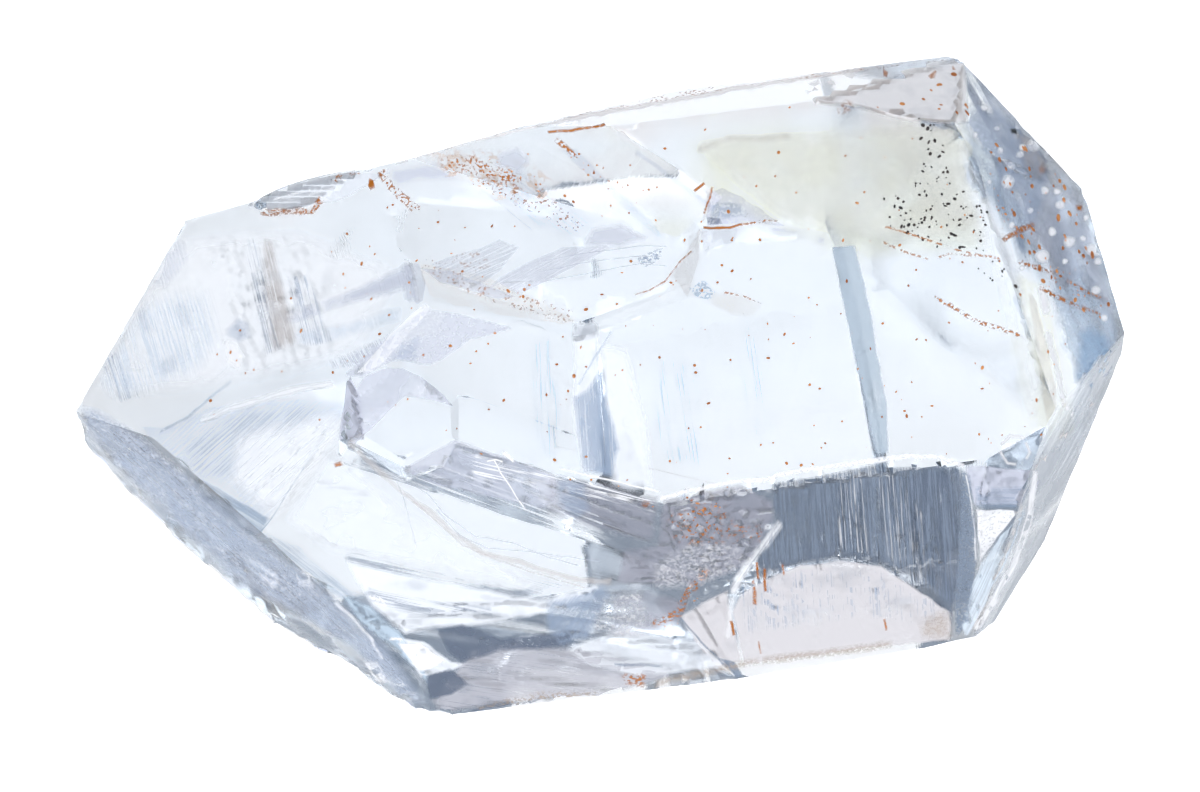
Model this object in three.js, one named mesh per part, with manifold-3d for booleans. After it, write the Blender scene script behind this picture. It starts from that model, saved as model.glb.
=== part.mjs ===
// A single loose celestite crystal: a stubby, clear prism that tapers to a thin edge at its left end.
// Millimetres, +Z up. X runs along the crystal, the broad growth face looks up, and the crystal rests on
// its lower basal face in the plane z = 0. The origin is under the middle of the crystal.
import * as THREE from "three";
import { ConvexGeometry } from "three/addons/geometries/ConvexGeometry.js";
import { mergeVertices } from "three/addons/utils/BufferGeometryUtils.js";
import Module from "manifold-3d";

const wasm = await Module();
wasm.setup();

// ---------------------------------------------------------------- driving dimensions: the crystal's faces
// Each face is face(azimuth, tilt, point): see the function below. All lengths are millimetres.

/** Faces that look up or outwards and close both growth blocks. */
const SHARED = {
  main: face(169, 2.6, [8.6, 2.1, 18.04]),
  upperLeft: face(130, 40, [-15.0, 2.9, 14.7]),
  front: face(265.5, 46, [8.8, -8.0, 15.45]),
  frontLeft: face(252, 50, [3.9, -13.8, 9.07]),
  frontRight: face(287, 49.5, [15.45, -6.0, 18.4]),
  rightLow: face(322, 75.6, [18.8, -6.5, 15.22]),
  rightEnd: face(9.2, 53.4, [20.15, 1.9, 16.65]),
  rightTop: face(23, 61, [19.2, 8.8, 15.7]),
  topCorner: face(72, 51.8, [16.7, 10.7, 16.72]),
  topRim: face(87.7, 72.5, [10.4, 11.7, 16.59]),
  backLeft: face(94, 91, [-7.5, 11.93, 12.9]),
  backRight: face(87, 91, [11.3, 12.62, 13.2]),
  fractureTip: face(216, 75, [-20.4, -3.9, 3]),
  fractureLow: face(224, 67, [-17.8, -6.7, 3]),
};

/** Short steep faces under the girdle, where the outline turns down. */
const GIRDLE = {
  left: face(142, 98, [-17.0, 11.5, 8.3]),
  tip: face(196, 97, [-24.1, 2.9, 6]),
  front: face(274, 98, [14.3, -13.75, 10.2]),
  frontLeft: face(270, 96, [-0.6, -13.65, 8.2]),
  rightLow: face(336, 102, [22.9, -4.0, 11.5]),
  rightEnd: face(5, 98, [23.35, 2.0, 12.2]),
  rightTop: face(40, 104, [22.6, 6.0, 12.0]),
};

/** The flat that the crystal rests on, and the shallow faces that rise from it. */
const UNDERSIDE = {
  rest: face(0, 180, [0, 0, 0]),
  right: face(12, 142, [13.1, 0, 0]),
  left: face(184, 160, [-9.5, 0, 0]),
  back: face(92, 165, [0, 5.5, 0]),
  frontLeft: face(258, 153, [-2, -5.2, 0]),
};

/** The two sloping faces of the low terrace at the left of the front. */
const TERRACE = {
  striated: face(236.7, 36.5, [-15.6, 0.3, 13.74]),
  floor: face(241.7, 36.9, [-9.5, -5.5, 12.23]),
};

/** The steep wall where the high block stands above the terrace, and the end of that wall. */
const HIGH_WALL = {
  wall: face(242, 51, [-3.6, -4.0, 15.88]),
  end: face(193, 55, [-10.2, 0.2, 17.3]),
};

/** A small six-sided growth hill on the corner between the broad face and the terrace. */
const HILL = {
  top: face(215, 7, [-8.3, 0.8, 17.85]),
  bevel: face(121, 27, [-9.2, 1.4, 17.7]),
  back: face(98, 60, [-9.2, 3.4, 17.0]),
  backRight: face(42, 60, [-6.9, 1.6, 17.6]),
  right: face(350, 60, [-6.5, -0.2, 17.6]),
  front: face(281, 60, [-8.3, -1.2, 17.5]),
  frontLeft: face(228, 65, [-10.3, -0.7, 16.7]),
  left: face(175, 65, [-11.1, 1.6, 16.5]),
  foot: face(0, 180, [0, 0, 16]),
};

/** The hollow at the back of the broad face: its walls, and two floors, of which one falls away behind. */
const HOLLOW_WALLS = {
  low: face(248, 135, [-6.9, 5.4, 17.5]),
  middle: face(282, 130, [0, 2.65, 17.8]),
  right: face(335, 125, [5.6, 5.0, 17.9]),
  top: face(45, 140, [6.44, 8.1, 17.9]),
  above: face(0, 0, [0, 0, 30]),
  behind: face(90, 90, [0, 20, 0]),
  left: face(180, 90, [-20, 0, 0]),
};
const HOLLOW_FLOORS = [
  face(349, 177.4, [-6.6, 6.2, 16.55]),
  face(265, 145, [-6.6, 6.2, 16.55]),
];

/** The undercut below the front face: everything under its roof and to the right of its wall. */
const UNDERCUT = {
  roof: face(90, 26, [0, 2.5, 0]),
  wall: face(174.4, 60, [0.45, 2.56, 0]),
  right: face(0, 90, [30, 0, 0]),
  front: face(270, 90, [0, -20, 0]),
  below: face(0, 180, [0, 0, -2]),
};

/** A shallow groove underneath that runs along below the wall of the high block. */
const UNDER_GROOVE = {
  roof: face(60, 24, [-0.3, 3.9, 0]),
  wall: face(240, 88, [-2.6, -0.8, 0]),
  left: face(150, 80, [-8.5, 5, 0]),
  right: face(354, 90, [-0.5, 1, 0]),
  below: face(0, 180, [0, 0, -2]),
};

/** A low step that crosses the resting flat and the undercut's roof near their right end. */
const STEP_SIDES = {
  right: face(0, 90, [30, 0, 0]),
  front: face(270, 90, [0, -7, 0]),
  behind: face(90, 75, [0, 4.8, 0]),
  below: face(0, 180, [0, 0, -2]),
};
const STEP_LEVEL = { roof: face(0, 0, [0, 0, 0.6]), wall: face(181, 52, [12.1, 0, 0]) };
const STEP_SLOPING = { roof: face(90, 26, [0, 2.5, 0.6]), wall: face(157, 52, [12.1, 2.5, 0]) };

// ---------------------------------------------------------------- driving dimensions: rounded places
// Each is a centre, three radii, and a turn in degrees about +Z.

/** Shell-shaped hollows where flakes have broken away. */
const FLAKES = [
  { at: [-5.2, -5.3, 16.2], radii: [5.6, 1.5, 1.9], turn: -30 },
  { at: [-22.6, -2.6, 6.6], radii: [3.2, 1.3, 4.4], turn: -54 },
  { at: [-17.9, -7.4, 7.2], radii: [3.4, 1.3, 4.6], turn: -40 },
  { at: [-14.7, -10.9, 6.4], radii: [3.6, 1.5, 4.4], turn: -44 },
  { at: [-11.6, -13.2, 7.2], radii: [2.4, 1.1, 3.6], turn: -47 },
];

/** Smooth arched hollows in the underside, below the front faces. */
const ARCHES = [
  { at: [8.2, -12.9, 4.0], radii: [7.2, 7.6, 4.3], turn: 0 },
  { at: [-2.8, -11.7, 1.9], radii: [4.8, 4.4, 3.4], turn: 14 },
];

/** A rounded ledge that swells out of the back edge. */
const LEDGE = { at: [-10.9, 11.35, 11.3], radii: [3.0, 0.62, 0.9], turn: 4 };

// ---------------------------------------------------------------- driving dimensions: small marks
// Each field lies on one face. It starts at `from`, runs along to `to`, and reaches back or down by `down`,
// all in X and Y. `length` and `turn` (degrees) are given as their lowest and highest value.

const MARK_FIELDS = {
  frontGrooves: {
    plane: SHARED.front, count: 26, from: [5.4, -6.9], to: [14.2, -6.9], down: [0, -4.2],
    length: [1.6, 4.4], width: 0.16, depth: 0.045, turn: [2, 2],
  },
  stepPits: {
    plane: SHARED.front, count: 26, from: [2.2, -5.9], to: [5.4, -5.9], down: [0, -3.7],
    length: [0.5, 0.8], width: 0.45, depth: 0.08, turn: [-60, 60],
  },
  wallGrooves: {
    plane: HIGH_WALL.wall, count: 9, from: [-7.0, -1.8], to: [0.4, -5.0], down: [-1.2, -1.6],
    length: [4.6, 5.4], width: 0.16, depth: 0.05, turn: [86, 86],
  },
  upperLeftGrooves: {
    plane: SHARED.upperLeft, count: 10, from: [-15.1, 8.2], to: [-12.3, 7.8], down: [0, -1.6],
    length: [2.6, 4.6], width: 0.14, depth: 0.035, turn: [-27, -27],
  },
  edgeChips: {
    plane: SHARED.main, count: 12, from: [2.2, -5.02], to: [14.8, -5.40], down: [0, -0.1],
    length: [0.4, 0.6], width: 1.1, depth: 0.16, turn: [-20, 20],
  },
};

// ---------------------------------------------------------------- helpers

const MERGE_MM = 1e-3;
const EDGE_SLACK_MM = 1e-6;
const PARALLEL = 1e-7;
const EGG_SEGMENTS = 26;
const EGG_RINGS = 16;
const STRIDE_DOWN = 0.618034;
const STRIDE_SIZE = 0.569840;

/** A crystal face: the plane through `at` that looks towards `azimuth` (degrees from +X towards +Y) and is
 *  tipped `tilt` degrees away from facing straight up, so 90 stands upright and 180 looks down. */
function face(azimuth, tilt, at) {
  const normal = new THREE.Vector3(0, 0, 1)
    .applyAxisAngle(new THREE.Vector3(0, 1, 0), THREE.MathUtils.degToRad(tilt))
    .applyAxisAngle(new THREE.Vector3(0, 0, 1), THREE.MathUtils.degToRad(azimuth));
  return new THREE.Plane().setFromNormalAndCoplanarPoint(normal, new THREE.Vector3(...at));
}

/** The point where three planes meet, or null where two of them are nearly parallel. */
function corner(a, b, c) {
  const bc = new THREE.Vector3().crossVectors(b.normal, c.normal);
  const det = a.normal.dot(bc);
  if (Math.abs(det) < PARALLEL) return null;
  const ca = new THREE.Vector3().crossVectors(c.normal, a.normal);
  const ab = new THREE.Vector3().crossVectors(a.normal, b.normal);
  return bc
    .multiplyScalar(-a.constant)
    .addScaledVector(ca, -b.constant)
    .addScaledVector(ab, -c.constant)
    .divideScalar(det);
}

/** The closed convex geometry that lies behind every one of these planes. */
function block(planes) {
  const corners = [];
  for (let i = 0; i < planes.length; i++)
    for (let j = i + 1; j < planes.length; j++)
      for (let k = j + 1; k < planes.length; k++) {
        const point = corner(planes[i], planes[j], planes[k]);
        if (point && planes.every((p) => p.distanceToPoint(point) < EDGE_SLACK_MM)) corners.push(point);
      }
  return new ConvexGeometry(corners);
}

/** A smooth rounded solid with three radii, turned about +Z. */
function egg({ at, radii, turn }) {
  return new THREE.SphereGeometry(1, EGG_SEGMENTS, EGG_RINGS)
    .scale(...radii)
    .rotateZ(THREE.MathUtils.degToRad(turn))
    .translate(...at);
}

/** The height of a face above (x, y). */
function heightOf(plane, x, y) {
  return -(plane.normal.x * x + plane.normal.y * y + plane.constant) / plane.normal.z;
}

/** A pointed mark lying in a face: `length` runs `turn` degrees from the way the face falls. */
function mark(plane, x, y, length, width, depth, turn) {
  const across = new THREE.Vector3().crossVectors(new THREE.Vector3(0, 0, 1), plane.normal).normalize();
  const along = new THREE.Vector3().crossVectors(plane.normal, across);
  return new THREE.OctahedronGeometry(1)
    .scale(width / 2, length / 2, depth)
    .rotateZ(THREE.MathUtils.degToRad(turn))
    .applyMatrix4(new THREE.Matrix4().makeBasis(across, along, plane.normal))
    .translate(x, y, heightOf(plane, x, y));
}

/** An even, irregular-looking spread of numbers between `low` and `high`. */
function spread(i, stride, [low, high]) {
  return low + ((i * stride) % 1) * (high - low);
}

/** The marks of one field: evenly spaced along it, and unevenly down it. */
function marksOf({ plane, count, from, to, down, length, width, depth, turn }) {
  return Array.from({ length: count }, (_, i) => {
    const along = (i + 0.5) / count;
    const fall = spread(i + 1, STRIDE_DOWN, [0, 1]);
    const x = from[0] + along * (to[0] - from[0]) + fall * down[0];
    const y = from[1] + along * (to[1] - from[1]) + fall * down[1];
    const long = spread(i, STRIDE_SIZE, length);
    return mark(plane, x, y, long, width, depth, spread(i, STRIDE_DOWN, turn));
  });
}

/** A closed three.js geometry as a manifold-3d solid. */
function solid(geometry) {
  const bare = geometry.clone();
  bare.deleteAttribute("normal");
  bare.deleteAttribute("uv");
  const merged = mergeVertices(bare, MERGE_MM);
  return new wasm.Manifold(new wasm.Mesh({
    numProp: 3,
    vertProperties: new Float32Array(merged.attributes.position.array),
    triVerts: new Uint32Array(merged.index.array),
  }));
}

/** A manifold-3d solid as a flat-shaded three.js geometry. */
function geometryOf(made) {
  const mesh = made.getMesh();
  const geometry = new THREE.BufferGeometry()
    .setAttribute("position", new THREE.BufferAttribute(mesh.vertProperties, 3))
    .setIndex(new THREE.BufferAttribute(mesh.triVerts, 1));
  const flat = geometry.toNonIndexed();
  flat.computeVertexNormals();
  return flat;
}

// ---------------------------------------------------------------- the crystal

const outer = [...Object.values(SHARED), ...Object.values(GIRDLE), ...Object.values(UNDERSIDE)];
const hollowWalls = Object.values(HOLLOW_WALLS);
const stepSides = Object.values(STEP_SIDES);

const lowBlock = solid(block([...outer, ...Object.values(TERRACE)]));
const highBlock = solid(block([...outer, ...Object.values(HIGH_WALL)]));
const hill = solid(block(Object.values(HILL)));
const ledge = solid(egg(LEDGE));

const cuts = [
  ...HOLLOW_FLOORS.map((floor) => block([...hollowWalls, floor])),
  block(Object.values(UNDERCUT)),
  block(Object.values(UNDER_GROOVE)),
  block([...stepSides, ...Object.values(STEP_LEVEL)]),
  block([...stepSides, ...Object.values(STEP_SLOPING)]),
  ...ARCHES.map(egg),
  ...FLAKES.map(egg),
];
const marks = Object.values(MARK_FIELDS).flatMap(marksOf);

let body = lowBlock.add(highBlock).add(ledge);
for (const cut of cuts) body = body.subtract(solid(cut));
body = body.add(hill);
for (const cut of marks) body = body.subtract(solid(cut));

const geometry = geometryOf(body);
geometry.computeBoundingBox();
const middle = geometry.boundingBox.getCenter(new THREE.Vector3());
geometry.translate(-middle.x, -middle.y, -geometry.boundingBox.min.z);

const crystal = new THREE.Mesh(
  geometry,
  new THREE.MeshStandardMaterial({ color: 0xdfeaf4, roughness: 0.08, metalness: 0 }),
);
crystal.name = "crystal";

const part = new THREE.Group();
part.add(crystal);
export default part;
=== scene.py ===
"""Dress a loose, clear celestite crystal and set it in a plain studio.

The solid from the frame gets a finer skin: each facet keeps its plane and gains its own striae, etch
channels, pits or ripples, and the edges are chipped. Thin veils hang inside it. Thin films and grains of rust
and of black mineral lie on it. Some of the films are painted light and shade: white glints and highlights, a
pale patch over a shadow seen through the crystal, and dark streaks and patches where it reflects the dim
room.
The classes hold millimetres and degrees, and meshes are made in metres.
"""
import itertools
import logging
import math
from dataclasses import dataclass
from enum import Enum

import bmesh
import bpy
import numpy as np
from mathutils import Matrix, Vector
from mathutils.bvhtree import BVHTree
from mathutils.geometry import delaunay_2d_cdt


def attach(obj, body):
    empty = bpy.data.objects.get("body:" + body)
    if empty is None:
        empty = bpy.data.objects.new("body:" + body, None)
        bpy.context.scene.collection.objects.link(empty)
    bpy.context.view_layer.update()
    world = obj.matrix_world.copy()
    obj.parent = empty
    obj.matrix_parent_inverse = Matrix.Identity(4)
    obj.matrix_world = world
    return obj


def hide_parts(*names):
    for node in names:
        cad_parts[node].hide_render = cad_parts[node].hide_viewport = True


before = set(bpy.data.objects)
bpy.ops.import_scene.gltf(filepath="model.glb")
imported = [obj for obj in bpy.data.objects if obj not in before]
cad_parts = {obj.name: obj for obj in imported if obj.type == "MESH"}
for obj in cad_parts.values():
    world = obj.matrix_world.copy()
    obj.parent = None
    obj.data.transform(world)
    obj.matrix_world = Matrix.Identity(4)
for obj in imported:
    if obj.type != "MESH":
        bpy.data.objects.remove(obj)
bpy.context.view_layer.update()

MM = 0.001
BODY = "root"
NODE = "crystal"
UP = np.array((0.0, 0.0, 1.0))
Point = tuple[float, float]
Edge = tuple[int, int]
Colour = tuple[float, float, float, float]
PURE_WHITE = (1.0, 1.0, 1.0, 1.0)
log = logging.getLogger("celestite")


# ---------------------------------------------------------------- small helpers

def placed(name: str, data: bpy.types.ID) -> bpy.types.Object:
    """Put a mesh, a lamp or a camera in the scene."""
    piece = bpy.data.objects.new(name, data)
    bpy.context.scene.collection.objects.link(piece)
    return piece


def keep(mesh: bpy.types.Mesh, name: str, domain: str, values: np.ndarray) -> None:
    """Store a number for each point or face of a mesh."""
    mesh.attributes.new(name, "FLOAT", domain).data.foreach_set("value", values.astype(np.float32))


# ---------------------------------------------------------------- numbers over a surface

def smooth_step(values: np.ndarray, low: float, high: float) -> np.ndarray:
    """Rise smoothly from 0 at `low` to 1 at `high`."""
    part = np.clip((values - low) / (high - low), 0.0, 1.0)
    return part * part * (3.0 - 2.0 * part)


def lattice(cells: np.ndarray, seed: int) -> np.ndarray:
    """Give each whole-number cell its own even random value from -1 to 1."""
    primes = np.array((73856093, 19349663, 83492791))[: cells.shape[1]]
    mixed = (cells @ primes + seed * 104729) & 0x7FFFFFFF
    mixed = ((mixed ^ (mixed >> 13)) * 1274126177) & 0x7FFFFFFF
    mixed = ((mixed ^ (mixed >> 15)) * 668265263) & 0x7FFFFFFF
    return (mixed >> 8 & 0xFFFF) / 32767.5 - 1.0


def value_noise(places: np.ndarray, seed: int) -> np.ndarray:
    """Smooth noise from -1 to 1 that changes over one unit of distance.

    Args:
        places: one row of two or three coordinates for each point.
        seed: which noise.

    Returns:
        One value for each row.
    """
    cell = np.floor(places).astype(np.int64)
    part = places - cell
    blend = part * part * (3.0 - 2.0 * part)
    total = np.zeros(len(places))
    for corner in itertools.product((0, 1), repeat=places.shape[1]):
        weight = np.prod(np.where(corner, blend, 1.0 - blend), axis=1)
        total += weight * lattice(cell + np.array(corner), seed)
    return total


def distances(places: np.ndarray, starts: np.ndarray, ends: np.ndarray) -> np.ndarray:
    """Measure how far each place lies from the nearest of these straight edges."""
    nearest = np.full(len(places), np.inf)
    for start, end in zip(starts, ends):
        run = end - start
        reach = np.clip((places - start) @ run / max(float(run @ run), 1e-12), 0.0, 1.0)
        nearest = np.minimum(nearest, np.linalg.norm(places - start - reach[:, None] * run, axis=1))
    return nearest


def inside(places: np.ndarray, starts: np.ndarray, ends: np.ndarray) -> np.ndarray:
    """Say of each place whether it lies inside the outlines that these edges close."""
    crossings = np.zeros(len(places), dtype=np.int64)
    for start, end in zip(starts, ends):
        if start[1] == end[1]:
            continue
        spans = (start[1] > places[:, 1]) != (end[1] > places[:, 1])
        at = start[0] + (places[:, 1] - start[1]) * (end[0] - start[0]) / (end[1] - start[1])
        crossings += spans & (places[:, 0] < at)
    return crossings % 2 == 1


def inner_triangles(triangles: list[list[int]], rim: set[tuple[int, int]]) -> list[list[int]]:
    """Keep the triangles that lie to the left of a rim, and those reached from them without crossing it.

    Args:
        triangles: all triangles, turning left.
        rim: the rim's edges from start to end.

    Returns:
        The triangles inside.
    """
    at = {edge: index for index, t in enumerate(triangles) for edge in zip(t, (*t[1:], t[0]))}
    queue = [at[edge] for edge in rim if edge in at]
    reached = set(queue)
    while queue:
        triangle = triangles[queue.pop()]
        for start, end in zip(triangle, (*triangle[1:], triangle[0])):
            other = at.get((end, start))
            if other is not None and other not in reached and not {(start, end), (end, start)} & rim:
                reached.add(other)
                queue.append(other)
    return [triangles[index] for index in sorted(reached)]


def honeycomb(low: np.ndarray, high: np.ndarray, gap: float) -> np.ndarray:
    """Give the points of a triangular grid between two corners."""
    rows = np.arange(low[1], high[1], gap * math.sqrt(0.75))
    columns = np.arange(low[0], high[0] + gap, gap)
    across, up = np.meshgrid(columns, rows)
    across = across + gap / 2 * (np.arange(len(rows)) % 2)[:, None]
    return np.column_stack((across.ravel(), up.ravel()))


@dataclass(frozen=True)
class Patch:
    """A stretch of the crystal, seen from above: an outline of (x, y) points with a soft rim outside it."""

    outline: tuple[Point, ...]
    soft: float = 0.5

    def edges(self) -> tuple[np.ndarray, np.ndarray]:
        """Give the outline as the starts and the ends of its edges."""
        starts = np.array(self.outline)
        return starts, np.roll(starts, -1, axis=0)

    def weight(self, places: np.ndarray) -> np.ndarray:
        """Give 1 inside the outline, falling to 0 over its soft rim."""
        flat = places[:, :2]
        starts, ends = self.edges()
        away = np.where(inside(flat, starts, ends), 0.0, distances(flat, starts, ends))
        return 1.0 - smooth_step(away, 0.0, self.soft)


@dataclass(frozen=True)
class Trail:
    """A thin line along rows of points, seen from above, with a width."""

    points: np.ndarray
    width: float

    def outline(self) -> np.ndarray:
        """Give the ribbon that the trail covers."""
        run = np.gradient(self.points, axis=0)
        side = np.column_stack((-run[:, 1], run[:, 0])) / np.linalg.norm(run, axis=1)[:, None]
        half = side * self.width / 2
        return np.vstack((self.points + half, (self.points - half)[::-1]))


# ---------------------------------------------------------------- the view from above

VIEW_SIZE = (1200, 792)  # the view's units across and down
VIEW_SCALE = 0.045  # millimetres for each of them
SOLID = BVHTree.FromObject(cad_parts[NODE], bpy.context.evaluated_depsgraph_get())


def view_places(points: tuple[Point, ...]) -> np.ndarray:
    """Turn points of the view, counted right and down from its upper left corner, into millimetres.

    Returns:
        Millimetres right and up of the middle of the view, true at the level of `Sight`.
    """
    return (np.array(points) - np.array(VIEW_SIZE) / 2) * (VIEW_SCALE, -VIEW_SCALE)


@dataclass(frozen=True)
class Sight:
    """How the view from above meets the crystal.

    Attributes:
        centre: the point under the camera.
        height: the camera's height.
        roll: degrees from +X to the view's right.
        level: the height at which lengths in the view are true.
    """

    centre: Point = (0.08, 0.46)
    height: float = 312.0
    roll: float = -10.0
    level: float = 12.0

    def eye(self) -> np.ndarray:
        """Give the camera's place."""
        return np.array((*self.centre, self.height))

    def under(self, places: np.ndarray) -> np.ndarray:
        """Give x and y at the true level for each place in the view."""
        roll = math.radians(self.roll)
        x = self.centre[0] + places[:, 0] * math.cos(roll) - places[:, 1] * math.sin(roll)
        y = self.centre[1] + places[:, 0] * math.sin(roll) + places[:, 1] * math.cos(roll)
        return np.column_stack((x, y))

    def looks(self, places: np.ndarray) -> np.ndarray:
        """Give the way to look for each place in the view."""
        looks = np.column_stack((self.under(places), np.full(len(places), self.level))) - self.eye()
        return looks / np.linalg.norm(looks, axis=1)[:, None]

    def cast(self, tree: BVHTree, places: np.ndarray) -> tuple[list, np.ndarray]:
        """Look at places in the view.

        Returns:
            Where each look meets the surface, in metres, or None; and the looks.
        """
        looks = self.looks(places)
        start = Vector(self.eye() * MM)
        return [tree.ray_cast(start, Vector(look))[0] for look in looks], looks

    def seen(self, *points: Point) -> tuple[Point, ...]:
        """Give x and y, rounded to 0.1 mm, of what the view shows of the solid at these points."""
        hits, _ = self.cast(SOLID, view_places(points))
        return tuple((round(hit.x / MM, 1), round(hit.y / MM, 1)) for hit in hits)

    def patch(self, points: tuple[Point, ...]) -> tuple[Point, ...]:
        """Turn an outline in points of the view into x and y at the true level, rounded to 0.1 mm."""
        return tuple(tuple(place) for place in np.round(self.under(view_places(points)), 1).tolist())


SIGHT = Sight()


# ---------------------------------------------------------------- what each facet is like

@dataclass(frozen=True)
class Relief:
    """Waves, grooves or pits in a facet.

    Attributes:
        across: width of one wave.
        along: length of one wave.
        depth: how far it reaches in and out.
        turn: degrees from the way the facet falls to the way the waves run.
        floor: what part of the waves is cut off, from -1 (none) to 1 (all), which leaves grooves or pits.
        patch: where on the facet they are, or everywhere.
        seed: which noise.
    """

    across: float
    along: float
    depth: float
    turn: float = 0.0
    floor: float = -1.0
    patch: Patch | None = None
    seed: int = 1

    def height(self, places: np.ndarray, fall: np.ndarray, side: np.ndarray) -> np.ndarray:
        """Give how far each place stands out of the facet; grooves and pits are below it."""
        turn = math.radians(self.turn)
        along = places @ (fall * math.cos(turn) + side * math.sin(turn))
        across = places @ (side * math.cos(turn) - fall * math.sin(turn))
        waves = value_noise(np.column_stack((across / self.across, along / self.along)), self.seed)
        if self.floor > -1.0:
            waves = -np.maximum(waves - self.floor, 0.0) / (1.0 - self.floor)
        weight = 1.0 if self.patch is None else self.patch.weight(places)
        return waves * weight * self.depth


@dataclass(frozen=True)
class FacetStyle:
    """How one crystal face is finished.

    Attributes:
        azimuth: the compass direction it looks to, from +X towards +Y.
        tilt: how far it is tipped from facing up.
        spacing: how far apart its mesh points are.
        turn: degrees from the way it falls to the way its fine striae run.
        striae: how strong the fine striae are, from 0 to 1.
        frost: how frosted it is all over, from 0 to 1.
        reliefs: its coarser relief.
    """

    azimuth: float
    tilt: float
    spacing: float = 0.6
    turn: float = 0.0
    striae: float = 0.15
    frost: float = 0.0
    reliefs: tuple[Relief, ...] = ()

    def normal(self) -> np.ndarray:
        """Give the way the face looks."""
        azimuth, tilt = math.radians(self.azimuth), math.radians(self.tilt)
        level = math.sin(tilt)
        return np.array((level * math.cos(azimuth), level * math.sin(azimuth), math.cos(tilt)))


# Points given by SIGHT.seen are points of the view, and the others are x and y in millimetres.
PITTED_CORNER = Patch(SIGHT.seen((655, 500), (780, 520), (760, 550), (735, 580), (690, 620), (620, 630),
                                 (655, 575)))
ETCHED = Patch((*SIGHT.seen((760, 560)), (8.1, -5.2), (15.0, -6.1), *SIGHT.seen((978, 600), (955, 625)),
                (8.8, -10.2), (4.5, -10.0)), 1.2)
HOLLOW_RUST = SIGHT.seen((440, 155), (490, 155), (545, 180), (545, 200), (500, 195), (450, 175))
CORNER_RUST = SIGHT.seen((690, 500), (725, 505), (730, 530), (700, 550), (685, 530))
STRIPED_LEFT = Patch(((-15.2, 11.0), (-12.6, 11.0), (-12.0, 4.6), (-14.6, 4.6)), 1.0)

STYLES = {
    "main": FacetStyle(169, 2.6, 0.8, turn=100, striae=0.05,
                       reliefs=(Relief(3.2, 7.0, 0.010, 95, seed=3),)),
    "upper_left": FacetStyle(130, 40, 0.2, turn=-27, striae=0.5,
                             reliefs=(Relief(0.30, 3.6, 0.05, -27, 0.1, STRIPED_LEFT, 5),
                                      Relief(1.6, 2.4, 0.03, -27, seed=7))),
    "front": FacetStyle(265.5, 46, 0.13, turn=2, striae=0.5,
                        reliefs=(Relief(0.36, 3.2, 0.07, 2, 0.15, ETCHED, 11),
                                 Relief(0.9, 6.0, 0.04, 2, seed=12),
                                 Relief(0.45, 0.6, 0.16, 20, 0.1, PITTED_CORNER, 13),
                                 Relief(1.1, 1.3, 0.10, 20, -1.0, PITTED_CORNER, 14))),
    "front_left": FacetStyle(252, 50, 0.2, turn=88, striae=0.6,
                             reliefs=(Relief(0.8, 6.0, 0.07, 88, seed=17),)),
    "front_right": FacetStyle(287, 49.5, 0.2, turn=10, striae=0.3, frost=0.25,
                              reliefs=(Relief(0.4, 0.5, 0.04, 0, 0.1, seed=19),)),
    "right_low": FacetStyle(322, 75.6, 0.2, turn=90, striae=0.5, frost=0.5,
                            reliefs=(Relief(0.5, 5.0, 0.03, 90, seed=21),)),
    "right_end": FacetStyle(9.2, 53.4, 0.2, turn=80, striae=0.3, frost=0.3,
                            reliefs=(Relief(0.8, 2.0, 0.05, 80, seed=23),)),
    "right_top": FacetStyle(23, 61, 0.2, turn=80, striae=0.3, frost=0.3,
                            reliefs=(Relief(0.8, 2.0, 0.05, 80, seed=24),)),
    "top_corner": FacetStyle(72, 51.8, 0.25, turn=10, striae=0.3, frost=0.2),
    "top_rim": FacetStyle(87.7, 72.5, 0.25, turn=90, striae=0.4, frost=0.15),
    "back_left": FacetStyle(94, 91, 0.4, turn=0, striae=0.5,
                            reliefs=(Relief(0.8, 9.0, 0.05, 0, seed=26),)),
    "back_right": FacetStyle(87, 91, 0.4, turn=0, striae=0.5,
                             reliefs=(Relief(0.8, 9.0, 0.05, 0, seed=27),)),
    "fracture_tip": FacetStyle(216, 75, 0.2, turn=60, striae=0.2, frost=0.5),
    "fracture_low": FacetStyle(224, 67, 0.2, turn=60, striae=0.2, frost=0.5),
    "terrace_left": FacetStyle(236.7, 36.5, 0.25, turn=-18.6, striae=0.8,
                               reliefs=(Relief(0.5, 8.0, 0.02, -18.6, seed=29),)),
    "terrace": FacetStyle(241.7, 36.9, 0.25, turn=94, striae=0.3,
                          reliefs=(Relief(0.8, 5.0, 0.02, 94, seed=31),)),
    "wall": FacetStyle(242, 51, 0.15, turn=86, striae=0.8,
                       reliefs=(Relief(0.5, 9.0, 0.05, 86, seed=33),)),
    "rest": FacetStyle(0, 180, 0.6, striae=0.0,
                       reliefs=(Relief(2.0, 4.0, 0.012, 60, seed=35),)),
    "under_left": FacetStyle(184, 160, 0.5, striae=0.1,
                             reliefs=(Relief(1.8, 5.0, 0.03, 50, seed=37),)),
    "under_back": FacetStyle(92, 165, 0.5, striae=0.1,
                             reliefs=(Relief(1.8, 5.0, 0.03, 0, seed=39),)),
    "under_right": FacetStyle(12, 142, 0.5, striae=0.2, frost=0.2,
                              reliefs=(Relief(1.0, 3.0, 0.05, 0, seed=41),)),
    "under_front": FacetStyle(258, 153, 0.4, striae=0.1,
                              reliefs=(Relief(1.2, 4.0, 0.04, 88, seed=43),)),
    "undercut": FacetStyle(270, 154, 0.4, striae=0.1,
                           reliefs=(Relief(1.2, 6.0, 0.02, 0, seed=45),)),
}
OTHER = FacetStyle(0, 0, 0.3, striae=0.15)
SMALL = FacetStyle(0, 0, 0.35, striae=0.0)


class Mask(Enum):
    """A stretch of the crystal with a finish of its own, kept as a point attribute of that name."""

    FROST = "frost"
    YELLOW = "yellow"
    PINK = "pink"
    RUST = "rust"


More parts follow.
